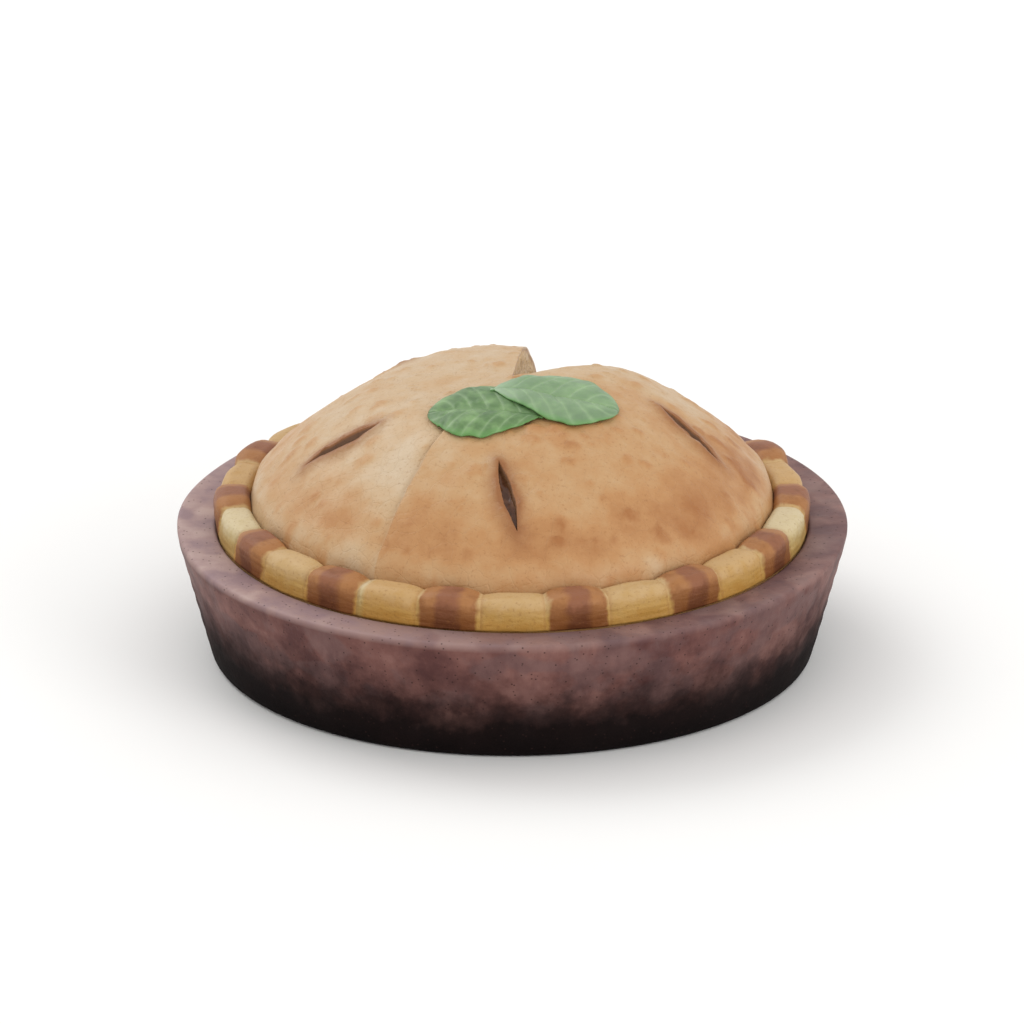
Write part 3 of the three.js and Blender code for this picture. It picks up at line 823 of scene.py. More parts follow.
def lid_relief(place):
    """How far the baked top departs from the smooth one, in mm: broad swells, the lap,
    pleats that run in from the crimps, blisters, wrinkles, and the slits' lips."""
    radius = math.hypot(place.x, place.y)
    flat = Vector((place.x, place.y, 0))
    calm = 1 - smooth(radius, LID_RADIUS * 0.8, LID_RADIUS)
    swell = LID_SWELL * (math.sin(place.x / 13 + 1.1) * math.cos(place.y / 16)
                         + math.sin((place.x + place.y) / 21))
    bearing = bearing_of(place)
    from_lap = radius * math.sin(math.radians(bearing - LAP_BEARING))
    ahead = outward(LAP_BEARING).dot(flat) > 0
    lap = 0
    if ahead and abs(from_lap) < 60:
        edge = from_lap - 0.8 * noise.noise(Vector((radius / 9, 0, 0)))
        lap = LAP_HEIGHT * math.exp(-max(edge, 0) / LAP_FADE) * smooth(edge, -0.25, 0.25)
        lap -= LAP_GROOVE * math.exp(-((edge + 0.7) / 0.7) ** 2)
    lap *= smooth(radius, LAP_START_RADIUS, LAP_START_RADIUS + LAP_FADE) * (0.4 + 0.6 * calm)
    pleat = PLEAT_DEPTH * math.sin(math.radians(bearing - LAP_BEARING) * 28 - math.pi / 2)
    pleat *= smooth(radius, 76, 95) * smooth(LID_RADIUS - radius, -1, 2)
    blisters = PUFF_HEIGHT * max(noise.noise(flat / 17 + Vector((3.7, 0, 0))) - 0.12, 0) / 0.5
    blisters += BLISTER_HEIGHT * blister(flat)
    wrinkle = WRINKLE_HEIGHT * noise.turbulence(flat / 5, 3, False)
    lip = slit_distance(place)
    curl = LIP_HEIGHT * math.exp(-((lip - 1.1) / 1.5) ** 2) * (0.75 + 0.5 * noise.noise(flat / 5))
    dip = -LIP_DIP * math.exp(-((lip - 6) / 3) ** 2)
    return swell * calm + lap + pleat + (blisters + wrinkle) * (0.3 + 0.7 * calm) + curl + dip


for vertex in lid.data.vertices:
    place = vertex.co / MM
    radius, bearing = polar(place)
    top = curve_height(LID_TOP, min(radius, LID_RADIUS))
    under = curve_height(LID_UNDERSIDE, min(radius, UNDERSIDE_END))
    share = smooth(place.z, under, top - 0.5)
    depth, inwards = from_cut(radius, bearing)
    flake = FLAKE_RELIEF * abs(noise.noise(Vector((place.x / 9, place.y / 9, (top - place.z) / 1.7))))
    flake += 0.5 * noise.noise(place / 3)
    layer_open = smooth(top - place.z, 0.2, 2) * (1 - smooth(depth, 0, 5)) * smooth(radius, 2, 9)
    place += inwards * (0.15 + flake) * layer_open
    place.z += lid_relief(place) * share
    vertex.co = place * MM


def joined(pieces, name):
    """The pieces as one object."""
    pick(pieces)
    bpy.ops.object.join()
    piece = bpy.context.object
    piece.name = piece.data.name = name
    return piece


def finish_with(piece, kind, **settings):
    """Adds a modifier with its settings to the active piece and applies it."""
    bpy.ops.object.modifier_add(type=kind)
    modifier = piece.modifiers[-1]
    for name, value in settings.items():
        setattr(modifier, name, value)
    bpy.ops.object.modifier_apply(modifier=modifier.name)


# Steam slits: lens-shaped cuts, wider at the top than below.
bpy.ops.object.select_all(action="DESELECT")
cutters = []
for slit, (middle, way, across) in zip(SLITS, slit_frames):
    bpy.ops.mesh.primitive_cylinder_add(vertices=SLIT_CORNERS, radius=1, depth=2)
    cutters.append(bpy.context.object)
    for vertex in cutters[-1].data.vertices:
        run = vertex.co.x
        taper = 1.0 if vertex.co.z > 0 else SLIT_TAPER
        edge = SLIT_WIDTH / 2 * (1 - run * run) * (1 if vertex.co.y >= 0 else -1) * taper
        ragged = 0.5 * noise.noise(Vector((run * 4, edge, slit[0])))
        offset = way * run * SLIT_LENGTH / 2 + across * (edge + ragged * (1 - run * run))
        place = middle + offset + Vector((0, 0, LID_TOP[0][1] if vertex.co.z > 0 else DISH_HEIGHT + 5))
        vertex.co = place * MM
cutter = joined(cutters, "slit_cutter")
close_shape(cutter)
pick([lid])
finish_with(lid, "BOOLEAN", operation="DIFFERENCE", solver="EXACT", object=cutter)
bpy.data.objects.remove(cutter)

# The cut leaves tiny edges and many-sided faces: the first are dissolved, and the
# second are fanned out from their middles.
bpy.ops.object.mode_set(mode="EDIT")
bpy.ops.mesh.select_mode(type="FACE")
bpy.ops.mesh.select_all(action="SELECT")
bpy.ops.mesh.dissolve_degenerate(threshold=0.02 * MM)
bpy.ops.mesh.select_all(action="DESELECT")
bpy.ops.mesh.select_face_by_sides(number=4, type="GREATER")
bpy.ops.mesh.poke()
bpy.ops.mesh.select_mode(type="VERT")
bpy.ops.object.mode_set(mode="OBJECT")
lid.data.shade_smooth()


def lid_depth(place):
    """Depth in mm below the baked top: 0 all over the top's own skin."""
    radius, bearing = polar(place)
    depth = curve_height(LID_TOP, min(radius, LID_RADIUS)) - place.z
    if depth > 5:
        return depth
    if from_cut(radius, bearing)[0] > 6 and slit_distance(place) > 1 and radius < LID_RADIUS - 1:
        return 0
    return depth + lid_relief(place)


# Patches of the bake: bearing, radius, size, tone from pale (-1) to brown (1), and on
# which side of the lap they stop: left (-1), right (1) or neither.
BAKE_PATCHES = [
    (-39, 68, 13, -0.5, -1), (-49, 86, 12, 0.35, -1), (-60, 88, 9, 0.2, -1), (-26, 86, 15, 0.4, 1),
    (-22, 68, 8, 0.2, 1), (2, 93, 10, 0.1, 0), (19, 78, 7, -0.3, 0), (50, 87, 15, 0.4, 0),
    (35, 97, 8, -0.4, 0), (83, 87, 11, 0.35, 0), (78, 95, 6, -0.4, 0), (30, 45, 14, 0.15, 0),
    (-90, 80, 14, -0.2, 0), (-130, 84, 18, 0.5, 0), (-160, 60, 16, -0.2, 0), (-172, 86, 14, 0.45, 0),
    (110, 84, 12, 0.4, 0), (180, 50, 14, 0.25, 0),
]
PALE_BAKE_AND_SHEEN = -0.5
FRONT_BAKE = 0.1


def bake_and_painted_light(place):
    """Tone of the lid at a place. The front and right caught the heat and the slope
    browned towards the border. The left of the lap and the back are paler, partly a
    lighter bake and partly a painted sheen, and a narrow ring just inside the border is
    painted paler, as painted light against the border's shade."""
    flat = Vector((place.x, place.y, 0))
    around = flat.length
    bearing = bearing_of(place)
    right_of_lap = around * math.sin(math.radians(bearing - LAP_BEARING)) > 0 and abs(bearing) < 100
    from_back = 1 - smooth(bearing, 80, 108)
    # The paler left of the lap and back are partly a lighter bake, partly a painted sheen.
    total = mix(PALE_BAKE_AND_SHEEN, FRONT_BAKE, smooth(bearing, LAP_BEARING - 22, 10) * from_back)
    if not right_of_lap or around < LAP_START_RADIUS:
        total = min(total, mix(PALE_BAKE_AND_SHEEN, FRONT_BAKE, from_back) if bearing > 0 else PALE_BAKE_AND_SHEEN)
    # Painted light: the ring just inside the border is painted paler, against the border's shade.
    total += 0.56 * smooth(around, 66, 88) - 0.45 * smooth(around, 89, 95)
    for patch_bearing, radius, size, amount, side in BAKE_PATCHES:
        away = (flat - outward(patch_bearing) * radius).length
        if side == 0 or (side > 0) == right_of_lap:
            total += amount * math.exp(-(away / size) ** 2)
    return total


paint(lid, "bake_and_painted_light", bake_and_painted_light)
paint(lid, "blister", lambda place: blister(Vector((place.x, place.y, 0))))
paint(lid, "scorch", lambda place: math.exp(-slit_distance(place) / 4))
paint(lid, "depth", lambda place: min(max(lid_depth(place) / LID_THICKNESS, 0), 1))

# Egg-washed rough puff: a satin golden-tan skin with fine blisters and freckles. Its
# cut shows a thin browned crust over ochre layers that soaked up gravy at the bottom.
lid_pastry, add, shader = new_material("egg-washed baked pastry")
FRECKLE_SIZE = 1.1 * MM
BROWNING_SIZE = 11 * MM
SKIN_GRAIN = 0.9 * MM
spot = add("TexCoord").outputs["Object"]
bake_and_painted_light_tone = add("Attribute", attribute_name="bake_and_painted_light").outputs["Fac"]
scorch = add("Attribute", attribute_name="scorch").outputs["Fac"]
depth = add("Attribute", attribute_name="depth").outputs["Fac"]
browning = add("TexNoise", {"Vector": spot, "Scale": 1 / BROWNING_SIZE, "Detail": 5.0, "Roughness": 0.6})
uneven = add("MapRange", {0: browning, 1: 0.3, 2: 0.7, 3: -0.32, 4: 0.32})
blistered = add("Math", {
    0: add("Attribute", attribute_name="blister").outputs["Fac"], 1: 0.55, 2: bake_and_painted_light_tone,
}, operation="MULTIPLY_ADD")
browned = add("Math", {0: blistered, 1: uneven}, operation="ADD")
tone_share = add("MapRange", {0: browned, 1: -1.2, 2: 1.2})
skin = add("ValToRGB", {0: tone_share}, stops=[
    (0.08, "#c9b191"), (0.3, "#c5a67f"), (0.5, "#c09769"), (0.7, "#b98755"), (1.0, "#a16734"),
])
freckles = add("TexNoise", {"Vector": spot, "Scale": 1 / FRECKLE_SIZE, "Detail": 2.0})
freckled = add("Mix", {
    0: add("MapRange", {0: freckles, 1: 0.60, 2: 0.72, 3: 0.0, 4: 0.35}), 6: skin, 7: linear("#93602f"),
}, data_type="RGBA")
scorch_edge = add("Math", {
    0: scorch, 1: add("MapRange", {0: browning, 1: 0.3, 2: 0.7, 3: 0.75, 4: 1.25}),
}, operation="MULTIPLY")
scorched = add("Mix", {
    0: add("MapRange", {0: scorch_edge, 1: 0.15, 2: 0.9, 3: 0.0, 4: 1.0}), 6: freckled,
    7: linear("#945f33"),
}, data_type="RGBA")
flat_place = add("Mapping", {"Vector": spot, "Scale": (0.42, 0.42, 0.0)})
deep_place = add("CombineXYZ", {2: add("Math", {0: depth, 1: LID_THICKNESS * MM}, operation="MULTIPLY")})
lid_layers = add("TexNoise", {
    "Vector": add("VectorMath", {0: flat_place, 1: deep_place}, operation="ADD"),
    "Scale": 1 / LAYER_HEIGHT, "Detail": 3.0, "Roughness": 0.6,
})
inside = add("ValToRGB", {0: lid_layers}, stops=[
    (0.3, "#a8824a"), (0.42, "#bc955a"), (0.58, "#c8a46c"), (0.72, "#d8ba88"),
])
stained = add("Mix", {
    0: add("MapRange", {0: depth, 1: 0.62, 2: 1.0, 3: 0.0, 4: 0.8}), 6: inside, 7: linear("#835a39"),
}, data_type="RGBA")
crust = add("Mix", {
    0: add("MapRange", {0: depth, 1: 0.05, 2: 0.12}), 6: linear("#b1834f"), 7: stained,
}, data_type="RGBA")
in_slit = add("Mix", {
    0: add("MapRange", {0: scorch, 1: 0.8, 2: 0.96, 3: 0.0, 4: 0.92}), 6: crust, 7: linear("#674229"),
}, data_type="RGBA")
baked = add("Mix", {
    0: add("MapRange", {0: depth, 1: 0.015, 2: 0.05}), 6: scorched, 7: in_slit,
}, data_type="RGBA")
CRAZING_SIZE = 7 * MM
wandering = add("TexNoise", {"Vector": spot, "Scale": 1 / (4 * MM), "Detail": 2.0})
crazed_place = add("Mix", {0: 0.0022, 4: spot, 5: wandering.outputs["Color"]}, data_type="VECTOR")
crazing = add("TexVoronoi", {
    "Vector": crazed_place, "Scale": 1 / CRAZING_SIZE,
}, feature="DISTANCE_TO_EDGE")
crazed = add("MapRange", {0: crazing, 1: 0.0, 2: 0.05})
skin_grain = add("TexNoise", {"Vector": spot, "Scale": 1 / SKIN_GRAIN, "Detail": 3.0, "Roughness": 0.6})
blister_marks = add("TexVoronoi", {"Vector": spot, "Scale": 1 / (5 * MM)}, feature="SMOOTH_F1")
crumb_or_skin = add("Mix", {
    0: add("MapRange", {0: depth, 1: 0.05, 2: 0.12}), 2: skin_grain,
    3: add("Math", {
        0: add("TexNoise", {"Vector": spot, "Scale": 1 / CRUMB_SIZE, "Detail": 3.0, "Roughness": 0.65}),
        1: 2.5, 2: lid_layers,
    }, operation="MULTIPLY_ADD"),
})
skin_bump = add("Bump", {
    "Height": crumb_or_skin, "Strength": 0.4, "Distance": 0.35 * MM,
    "Normal": add("Bump", {
        "Height": blister_marks, "Strength": 0.35, "Distance": 1.0 * MM,
        "Normal": add("Bump", {"Height": crazed, "Strength": 0.35, "Distance": 0.3 * MM}),
    }),
})
wash = add("MapRange", {0: browning, 1: 0.3, 2: 0.7, 3: 0.42, 4: 0.6})
feed(shader, {
    "Base Color": baked, "Normal": skin_bump, "Roughness": wash, "IOR": 1.46, "Coat Weight": 0.08,
    "Coat Roughness": 0.3,
})
lid.data.materials.append(lid_pastry)
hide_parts("lid")
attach(lid, "root")

# ------------------------------------------------------------------ gravy in the slits
# Gravy that boiled up through each steam slit and dried there, a little below the
# pastry's lips and sunk in the middle.
BOILED_DEPTH = 3.2
BOILED_DIP = 1.1
BOILED_THICKNESS = 3
boiled = []
for middle, way, across in slit_frames:
    boiled.append(new_grid("boiled_gravy", 44, 10))
    for vertex in boiled[-1].data.vertices:
        run, side = vertex.co.x, vertex.co.y
        half_width = SLIT_WIDTH / 2 * (1 - run * run) + 0.5
        place = middle + way * run * SLIT_LENGTH / 2 + across * side * half_width
        sunk = BOILED_DEPTH + BOILED_DIP * (1 - side * side) + 0.8 * noise.noise(place / 4)
        place.z = curve_height(LID_TOP, place.length) - sunk
        vertex.co = place * MM
slit_gravy = joined(boiled, "slit_gravy")
bpy.ops.object.mode_set(mode="EDIT")
bpy.ops.mesh.select_all(action="SELECT")
bpy.ops.mesh.extrude_region_move(TRANSFORM_OT_translate={"value": (0, 0, -BOILED_THICKNESS * MM)})
bpy.ops.object.mode_set(mode="OBJECT")
close_shape(slit_gravy)

# Reduced meat gravy: dark brown, mottled, and shiny.
gravy_skin, add, shader = new_material("set brown gravy")
spot = add("TexCoord").outputs["Object"]
murk = add("TexNoise", {"Vector": spot, "Scale": 1 / (4 * MM), "Detail": 3.0})
brown = add("ValToRGB", {0: murk}, stops=[(0.35, "#5e3b27"), (0.55, "#774e35"), (0.7, "#8c6143")])
feed(shader, {
    "Base Color": brown, "Normal": add("Bump", {"Height": murk, "Strength": 0.3, "Distance": 0.4 * MM}),
    "Roughness": 0.2, "IOR": 1.4,
})
slit_gravy.data.materials.append(gravy_skin)
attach(slit_gravy, "root")

# ------------------------------------------------------------------ crimped border
# The edges of lid and case, rolled together into a rope just inside the dish's rim
# and pinched at even steps. Every second pad stood proud in the oven and toasted, and
# the pads between stayed pale.
BORDER_OUTER_RADIUS = 109.7
BORDER_TOP = 61.9
TOASTED_RISE = 1.1
PINCH_DROP = 1.3
PINCH_CROWDING = 0.105
PADS_BAKED = 24
PAD_COLUMNS = 20
BORDER_RINGS, BORDER_LAYERS, BORDER_CUTS = 26, 9, 9
PAD_SHARE = CRIMP_PITCH / 2
border_width = BORDER_OUTER_RADIUS - BORDER_INNER_RADIUS
ridge_radius = BORDER_INNER_RADIUS + border_width * 0.46
border_bottom = DISH_HEIGHT + GAP
border_top = rounded([
    (BORDER_INNER_RADIUS, LID_TOP[-1][1], 0),
    (BORDER_INNER_RADIUS + 1.6, BORDER_TOP, 2.0),
    (BORDER_OUTER_RADIUS, BORDER_TOP, 5.2),
    (BORDER_OUTER_RADIUS, BORDER_TOP - 6, 0),
])
border = baked_round("crimped_border", lambda u, w: mix(
    Vector((mix(BORDER_INNER_RADIUS, BORDER_OUTER_RADIUS, u), border_bottom)), along(border_top, u), w),
    BORDER_RINGS, BORDER_LAYERS, PADS_BAKED * PAD_COLUMNS, BORDER_CUTS)


def pad_at(bearing):
    """Which pad a bearing falls on, and how far along it, from 0 to 1."""
    turn = (bearing - LAP_BEARING + 720) / PAD_SHARE
    pad = math.floor(turn + 1e-4)
    return pad, turn - pad


baked_edge = stepped(border_top + [Vector((BORDER_OUTER_RADIUS, border_bottom))], 1.0)


def under_skin(place):
    """How deep a place lies under the rolled edge's skin, before it is crimped."""
    here = Vector((math.hypot(place.x, place.y), place.z))
    return min((here - point).length for point in baked_edge)


paint(border, "under_skin", under_skin)
for vertex in border.data.vertices:
    place = vertex.co / MM
    radius, bearing = polar(place)
    pad, share = pad_at(bearing)
    warped = share - PINCH_CROWDING * math.sin(2 * math.pi * share)
    crown = TOASTED_RISE if pad % 2 else 0
    plumpness = 1 - abs(2 * warped - 1) ** 3
    relief = mix(-PINCH_DROP, crown + 0.25 * math.sin(pad * 2.4), plumpness)
    upwards = smooth(place.z, border_bottom - 1, BORDER_TOP - 3)
    outwards = min(max((radius - ridge_radius) / (BORDER_OUTER_RADIUS - ridge_radius), 0), 1)
    new_bearing = bearing + (warped - share) * PAD_SHARE
    lump = 0.35 * noise.noise(place / 7) + 0.14 * noise.noise(place / 2.3)
    flake = 0.28 * noise.noise(Vector((place.x / 9, place.y / 9, place.z / 1.1))) * outwards
    new_radius = radius + (relief + lump) * outwards * upwards + flake
    rise = (relief + lump) * smooth(place.z, border_bottom + 2, BORDER_TOP - 3)
    vertex.co = (outward(new_bearing) * new_radius + Vector((0, 0, place.z + rise))) * MM


def toast(place):
    """Up to 0.2 at the ends of a pale pad, and on a toasted one 0.55 to 1 in three bands,
    darkest in the middle."""
    pad, share = pad_at(polar(place)[1])
    warped = share + 0.05 * noise.noise(place / 4) + 0.025 * noise.noise(place / 1.6)
    if pad % 2 == 0:
        return 0.2 * (1 - smooth(min(share, 1 - share), 0.0, 0.1))
    edge = smooth(min(warped, 1 - warped), 0.0, 0.09)
    return edge * (0.55 + 0.45 * smooth(0.5 - abs(warped - 0.5), 0.25, 0.38))


def cream(place):
    """How pale a pad stayed: the two at the sides most of all, one in front at its left
    end, and the others a little."""
    pad, share = pad_at(polar(place)[1])
    pad -= round(1080 / PAD_SHARE)
    if pad == 0:
        return 0.9 * (1 - smooth(share, 0.06, 0.16))
    return 0.95 if pad in (-4, 8) else 0.3 * scatter(pad, 1, 8)


paint(border, "toast", toast)
paint(border, "cream", cream)
# Painted shade: 1 at the foot of the rope, where every tone is painted darker.
paint(border, "low", lambda place: 1 - smooth(place.z, border_bottom + 1, BORDER_TOP - 0.5))

# Rolled pastry edge: pale gold, cream on the least baked pads, and chestnut on the
# toasted ones, darkest along their middles. Every tone darkens towards the rope's foot
# as painted shade, to honey brown on the pale pads.
rope_pastry, add, shader = new_material("crimped baked pastry")
spot = add("TexCoord").outputs["Object"]
toasted = add("Attribute", attribute_name="toast").outputs["Fac"]
low = add("Attribute", attribute_name="low").outputs["Fac"]
cloud = add("TexNoise", {"Vector": spot, "Scale": 1 / (5 * MM), "Detail": 4.0, "Roughness": 0.6})
# Painted shade, a little uneven: darker towards the foot of the rope.
painted_shade_low = add("Math", {
    0: low, 1: add("MapRange", {0: cloud, 1: 0.3, 2: 0.7, 3: -0.22, 4: 0.22}),
}, operation="ADD")
tones = {}
for tone_name, stops in {
    "pale": [(0.0, "#c09b68"), (0.3, "#ba9155"), (0.65, "#ba904c"), (1.0, "#b6873f")],
    "cream": [(0.0, "#cdbc96"), (0.3, "#c3af80"), (0.65, "#b89e64"), (1.0, "#ad8c4c")],
    "toasted edge": [(0.0, "#a57144"), (0.3, "#925f35"), (0.65, "#8a582f"), (1.0, "#814e26")],
    "toasted middle": [(0.0, "#8e5b3f"), (0.3, "#7b4b30"), (0.65, "#704226"), (1.0, "#66391f")],
}.items():
    tones[tone_name] = add("ValToRGB", {0: painted_shade_low}, stops=stops)
untoasted = add("Mix", {
    0: add("Attribute", attribute_name="cream").outputs["Fac"], 6: tones["pale"], 7: tones["cream"],
}, data_type="RGBA")
chestnut = add("Mix", {
    0: add("MapRange", {0: toasted, 1: 0.6, 2: 0.95}), 6: tones["toasted edge"],
    7: tones["toasted middle"],
}, data_type="RGBA")
banded = add("Mix", {
    0: add("MapRange", {0: toasted, 1: 0.08, 2: 0.5}), 6: untoasted, 7: chestnut,
}, data_type="RGBA")
fine = add("TexNoise", {"Vector": spot, "Scale": 1 / FRECKLE_SIZE, "Detail": 2.0})
rope_freckled = add("Mix", {
    0: add("MapRange", {0: fine, 1: 0.58, 2: 0.72, 3: 0.0, 4: 0.35}), 6: banded, 7: linear("#8a5a2c"),
}, data_type="RGBA")
dough = add("ValToRGB", {0: cloud}, stops=[(0.35, "#b28c5a"), (0.5, "#cbab79"), (0.65, "#dcc398")])
cut_open = add("Mix", {
    0: add("MapRange", {0: add("Attribute", attribute_name="under_skin").outputs["Fac"], 1: 0.7, 2: 1.3}),
    6: rope_freckled, 7: dough,
}, data_type="RGBA")
rope_grain = add("TexNoise", {"Vector": spot, "Scale": 1 / SKIN_GRAIN, "Detail": 3.0, "Roughness": 0.6})
rope_layers = add("TexNoise", {
    "Vector": add("Mapping", {"Vector": spot, "Scale": (0.25, 0.25, 1.0)}), "Scale": 1 / LAYER_HEIGHT,
    "Detail": 2.0,
})
rope_bump = add("Bump", {
    "Height": rope_grain, "Strength": 0.4, "Distance": 0.35 * MM,
    "Normal": add("Bump", {"Height": rope_layers, "Strength": 0.4, "Distance": 0.7 * MM}),
})
feed(shader, {
    "Base Color": cut_open, "Normal": rope_bump, "Roughness": 0.5, "IOR": 1.46, "Specular IOR Level": 0.3,
})
border.data.materials.append(rope_pastry)
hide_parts("rim_rope")
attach(border, "root")

# ------------------------------------------------------------------ leaves
# Two broad fresh herb leaves laid on the crown after baking, the right one over the
# left one's stalk end. The blade puffs up between its midrib and side veins, and its
# edge is a little wavy.
LEAF_COLUMNS, LEAF_ROWS = 90, 56
LEAF_THICKNESS = 0.8
LEAF_PUFF = 1.7
LEAF_LIFT = 0.5
LEAF_DRAPE = 5
LEAF_OVERLAP_LIFT = 2.2
STALK_SHARE = 0.04
VEIN_COUNT = 6.5
LEAVES = {
    "leaf_left": ((11.5, 34), (-30.6, 28), 17.8, -2, False),
    "leaf_right": ((-8, 17), (39, 24.5), 17, 2, True),
}


def vein_share(u, side):
    """1 on a side vein or the midrib and 0 well away from them."""
    phase = (u * VEIN_COUNT - abs(side) * 1.5 + (0.25 if side > 0 else 0)) % 1
    side_vein = math.exp(-(min(phase, 1 - phase) / 0.11) ** 2) * (1 - 0.5 * abs(side))
    return max(side_vein, math.exp(-(side / 0.07) ** 2))


herb, add, shader = new_material("fresh herb leaf")
spot = add("TexCoord").outputs["Object"]
veins = add("Attribute", attribute_name="vein").outputs["Fac"]
blade_cloud = add("TexNoise", {"Vector": spot, "Scale": 1 / (6 * MM), "Detail": 4.0})
blade = add("ValToRGB", {0: blade_cloud}, stops=[(0.3, "#4b6b3f"), (0.5, "#60804f"), (0.7, "#7c9d66")])
lighter = add("Mix", {
    0: add("Attribute", attribute_name="lightness").outputs["Fac"], 6: blade, 7: linear("#98b190"),
}, data_type="RGBA")
thin_edge = add("Mix", {
    0: add("MapRange", {
        0: add("Attribute", attribute_name="edge").outputs["Fac"], 1: 0.86, 2: 1.0, 3: 0.0, 4: 0.7,
    }),
    6: lighter, 7: linear("#62994f"),
}, data_type="RGBA")
veined = add("Mix", {
    0: add("Math", {0: veins, 1: 0.5}, operation="MULTIPLY"), 6: thin_edge, 7: linear("#a3bf90"),
}, data_type="RGBA")
pores = add("TexNoise", {"Vector": spot, "Scale": 1 / (0.7 * MM), "Detail": 2.0})
feed(shader, {
    "Base Color": veined, "Normal": add("Bump", {"Height": pores, "Strength": 0.3, "Distance": 0.2 * MM}),
    "Roughness": 0.42, "IOR": 1.45, "Subsurface Weight": 0.08,
    "Subsurface Radius": (0.4 * MM, 0.9 * MM, 0.2 * MM),
})

for name, (base, tip, half_width, bend, over) in LEAVES.items():
    leaf = new_grid(name + "_blade", LEAF_COLUMNS, LEAF_ROWS)
    start = Vector((base[0], -base[1], 0))
    axis = Vector((tip[0], -tip[1], 0)) - start
    across = Vector((-axis.y, axis.x, 0)).normalized()
    vein_shares, edge_shares = [], []
    for vertex in leaf.data.vertices:
        u, side = (vertex.co.x + 1) / 2, vertex.co.y
        blade_share = min(max((u - STALK_SHARE) / (1 - STALK_SHARE), 0), 1)
        width = 0.7 + half_width * max(math.sin(math.pi * blade_share ** 1.25), 0) ** 0.68
        waver = 1 + 0.03 * math.sin(u * 24 + side * 3)
        place = start + axis * u + across * (side * width * waver + bend * math.sin(math.pi * u))
        puff = abs(math.sin(math.pi * side)) ** 0.8 * math.sin(math.pi * blade_share) ** 0.5
        vein = vein_share(blade_share, side)
        ripple = 0.35 * abs(math.sin(u * 19)) * side ** 2
        raised = LEAF_OVERLAP_LIFT * (1 - smooth(place.x, 4, 17)) if over else 0
        flat = Vector((place.x, place.y, 0))
        draped = sum(lid_relief(flat + outward(60 * turn) * LEAF_DRAPE) for turn in range(6)) / 6
        pastry_top = curve_height(LID_TOP, flat.length) + mix(max(draped, lid_relief(flat)), draped, 0.6)
        vein_shares.append(vein * smooth(blade_share, 0, 0.1))
        edge_shares.append(abs(side))
        quilt = 0.55 * (0.4 - vein) * math.sin(math.pi * blade_share) * (1 - side ** 4)
        place.z = pastry_top + LEAF_LIFT + LEAF_PUFF * puff + ripple + raised + quilt
        vertex.co = place * MM
    keep(leaf, "vein", vein_shares)
    keep(leaf, "edge", edge_shares)
    finish_with(leaf, "SOLIDIFY", thickness=LEAF_THICKNESS * MM, offset=1.0)
    leaf.data.shade_smooth()
    paint(leaf, "lightness", lambda place: 0.38 + 0.6 * math.exp(
        -((place - start).xy.length / 10) ** 2) if over else 0.0)
    leaf.data.materials.append(herb)
    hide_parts(name)
    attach(leaf, "root")

# ------------------------------------------------------------------ gravy film
# Gravy that ran out of the cut and set on the dish's floor: a thin glossy skin,
# thickest along the foot of both cut faces and broken up into islands between them.
FILM_THICKNESS = 0.9
FILM_FLOOR = FLOOR_THICKNESS - 0.6
film = new_grid("gravy_film", 96, 80)
for vertex in film.data.vertices:
    out, turn = (vertex.co.x + 1) / 2, (vertex.co.y + 1) / 2
    radius = mix(2, WELL_RADIUS - 5, out)
    bearing = mix(SLICE_BEARINGS[0] - 2, SLICE_BEARINGS[1] + 2, turn)
    place = outward(bearing) * radius
    from_foot = radius * math.radians(min(bearing - SLICE_BEARINGS[0], SLICE_BEARINGS[1] - bearing))
    wetness = math.exp(-max(from_foot, 0) / 7)
    wetness += 0.55 * noise.noise(place / 13) + 0.25 * noise.noise(place / 4)
    wetness -= 0.35 + smooth(radius, WELL_RADIUS - 14, WELL_RADIUS - 6)
    skin = FILM_THICKNESS * smooth(wetness, 0, 0.5) * (0.75 + 0.25 * noise.noise(place / 6))
    place.z = FLOOR_THICKNESS + skin if wetness > 0 else FILM_FLOOR + 0.3
    vertex.co = place * MM
bpy.ops.object.mode_set(mode="EDIT")
bpy.ops.mesh.select_all(action="SELECT")
bpy.ops.mesh.extrude_region_move(TRANSFORM_OT_translate={"value": (0, 0, 0)})
bpy.ops.object.mode_set(mode="OBJECT")
for vertex in film.data.vertices:
    if vertex.select:
        vertex.co.z = FILM_FLOOR * MM
close_shape(film)
film.data.materials.append(gravy_skin)
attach(film, "root")

# ------------------------------------------------------------------ crumbs
# What fell when the slice was lifted out: grains and thin flakes of pastry, and a few
# scraps of meat, on the dish's floor and beside the gap on its rim.
CRUMB_COUNT = 150
RIM_CRUMB_SHARE = 0.11
SCRAP_COUNT = 9
chance = random.Random(7)


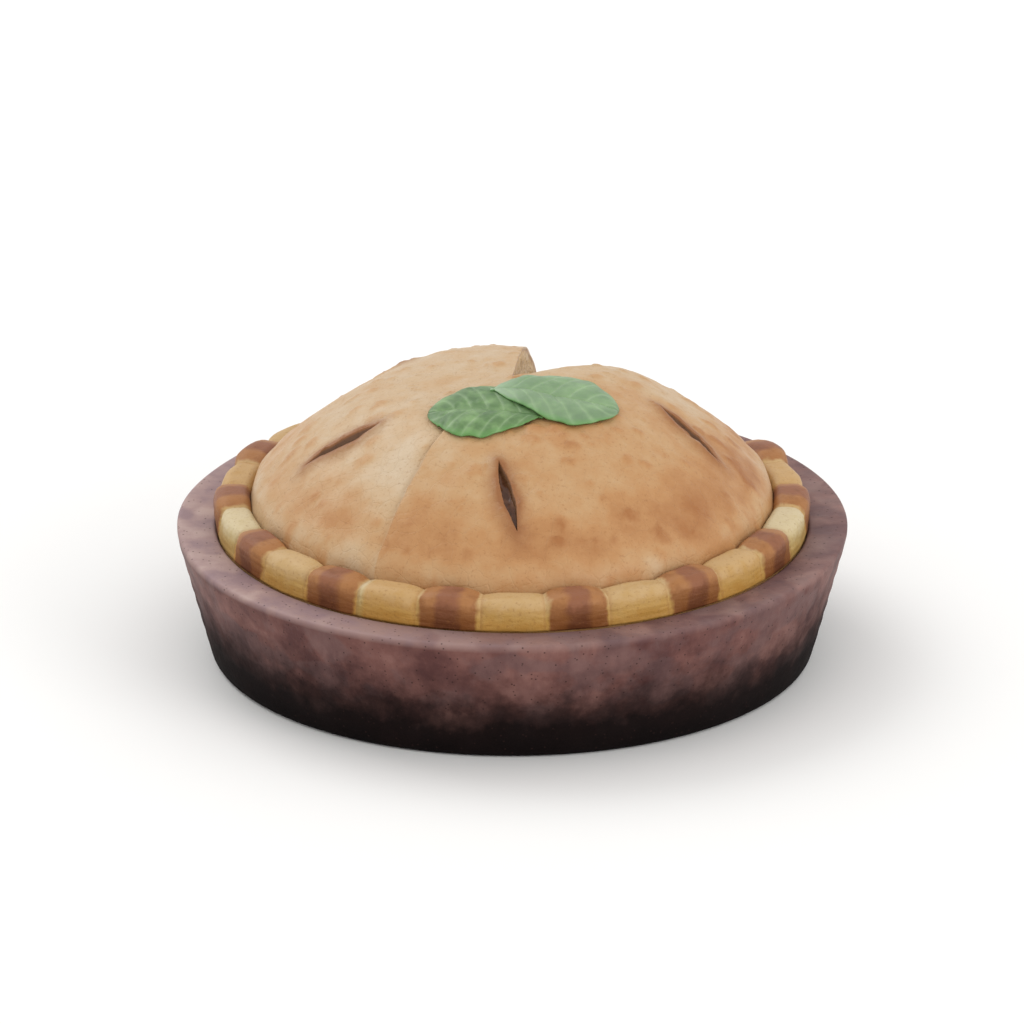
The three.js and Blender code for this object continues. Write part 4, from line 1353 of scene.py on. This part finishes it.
def scattered(name, count, spread, sizes, squash, fineness):
    """Copies of one craggy lump, each turned and sized by chance, joined to one piece.
    spread gives a place in mm for each lump's underside."""
    bpy.ops.object.select_all(action="DESELECT")
    bpy.ops.mesh.primitive_ico_sphere_add(subdivisions=fineness, radius=1)
    lump = bpy.context.object
    for vertex in lump.data.vertices:
        vertex.co *= 1 + 0.55 * noise.noise(vertex.co * 1.6 + Vector((count, 0, 0)))
    copies = []
    for _ in range(count):
        copy = lump.copy()
        copy.data = lump.data.copy()
        bpy.context.scene.collection.objects.link(copy)
        size = chance.uniform(*sizes)
        shape = Matrix.Diagonal((1, chance.uniform(0.6, 1), chance.uniform(*squash), 1))
        turn = Matrix.Rotation(chance.uniform(0, 2 * math.pi), 4, "Z")
        tilt = Matrix.Rotation(chance.uniform(-0.25, 0.25), 4, "X")
        place = spread()
        rise = size * shape[2][2] * 0.8
        copy.data.transform(Matrix.Translation((place + Vector((0, 0, rise))) * MM) @ turn @ tilt @ shape
                            @ Matrix.Scale(size * MM, 4))
        copies.append(copy)
    bpy.data.objects.remove(lump)
    piece = joined(copies, name)
    piece.data.shade_smooth()
    return piece


def on_floor():
    """A spot on the dish's floor in the gap, likelier near the cut faces."""
    radius = WELL_RADIUS * 0.9 * chance.uniform(0.02, 1) ** 0.5
    lean = chance.random() ** 1.6 / 2
    share = lean if chance.random() < 0.5 else 1 - lean
    return outward(mix(SLICE_BEARINGS[0] + 1, SLICE_BEARINGS[1] - 1, share)) * radius + Vector(
        (0, 0, FLOOR_THICKNESS))


def on_floor_or_rim():
    """One crumb in nine fell on the rim, where the slice was lifted over it."""
    if chance.random() > RIM_CRUMB_SHARE:
        return on_floor()
    bearing = chance.uniform(SLICE_BEARINGS[0] - 3, SLICE_BEARINGS[1] + 3)
    return outward(bearing) * chance.uniform(RIM_RADIUS - 12, RIM_RADIUS - 4) + Vector((0, 0, DISH_HEIGHT))


for name, count, spread, sizes, squash, fineness, finish, slot in (
    ("pastry_crumbs", CRUMB_COUNT, on_floor_or_rim, (0.35, 1.6), (0.3, 0.8), 2, shortcrust, "pastry"),
    ("meat_scraps", SCRAP_COUNT, on_floor, (1.6, 3.2), (0.5, 0.8), 4, meat, "meat_filling"),
):
    loose = scattered(name, count, spread, sizes, squash, fineness)
    paint(loose, "across", lambda place: 0.14 + 0.4 * noise.noise(place / 6))
    loose.data.materials.append(finish)
    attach(loose, "root")
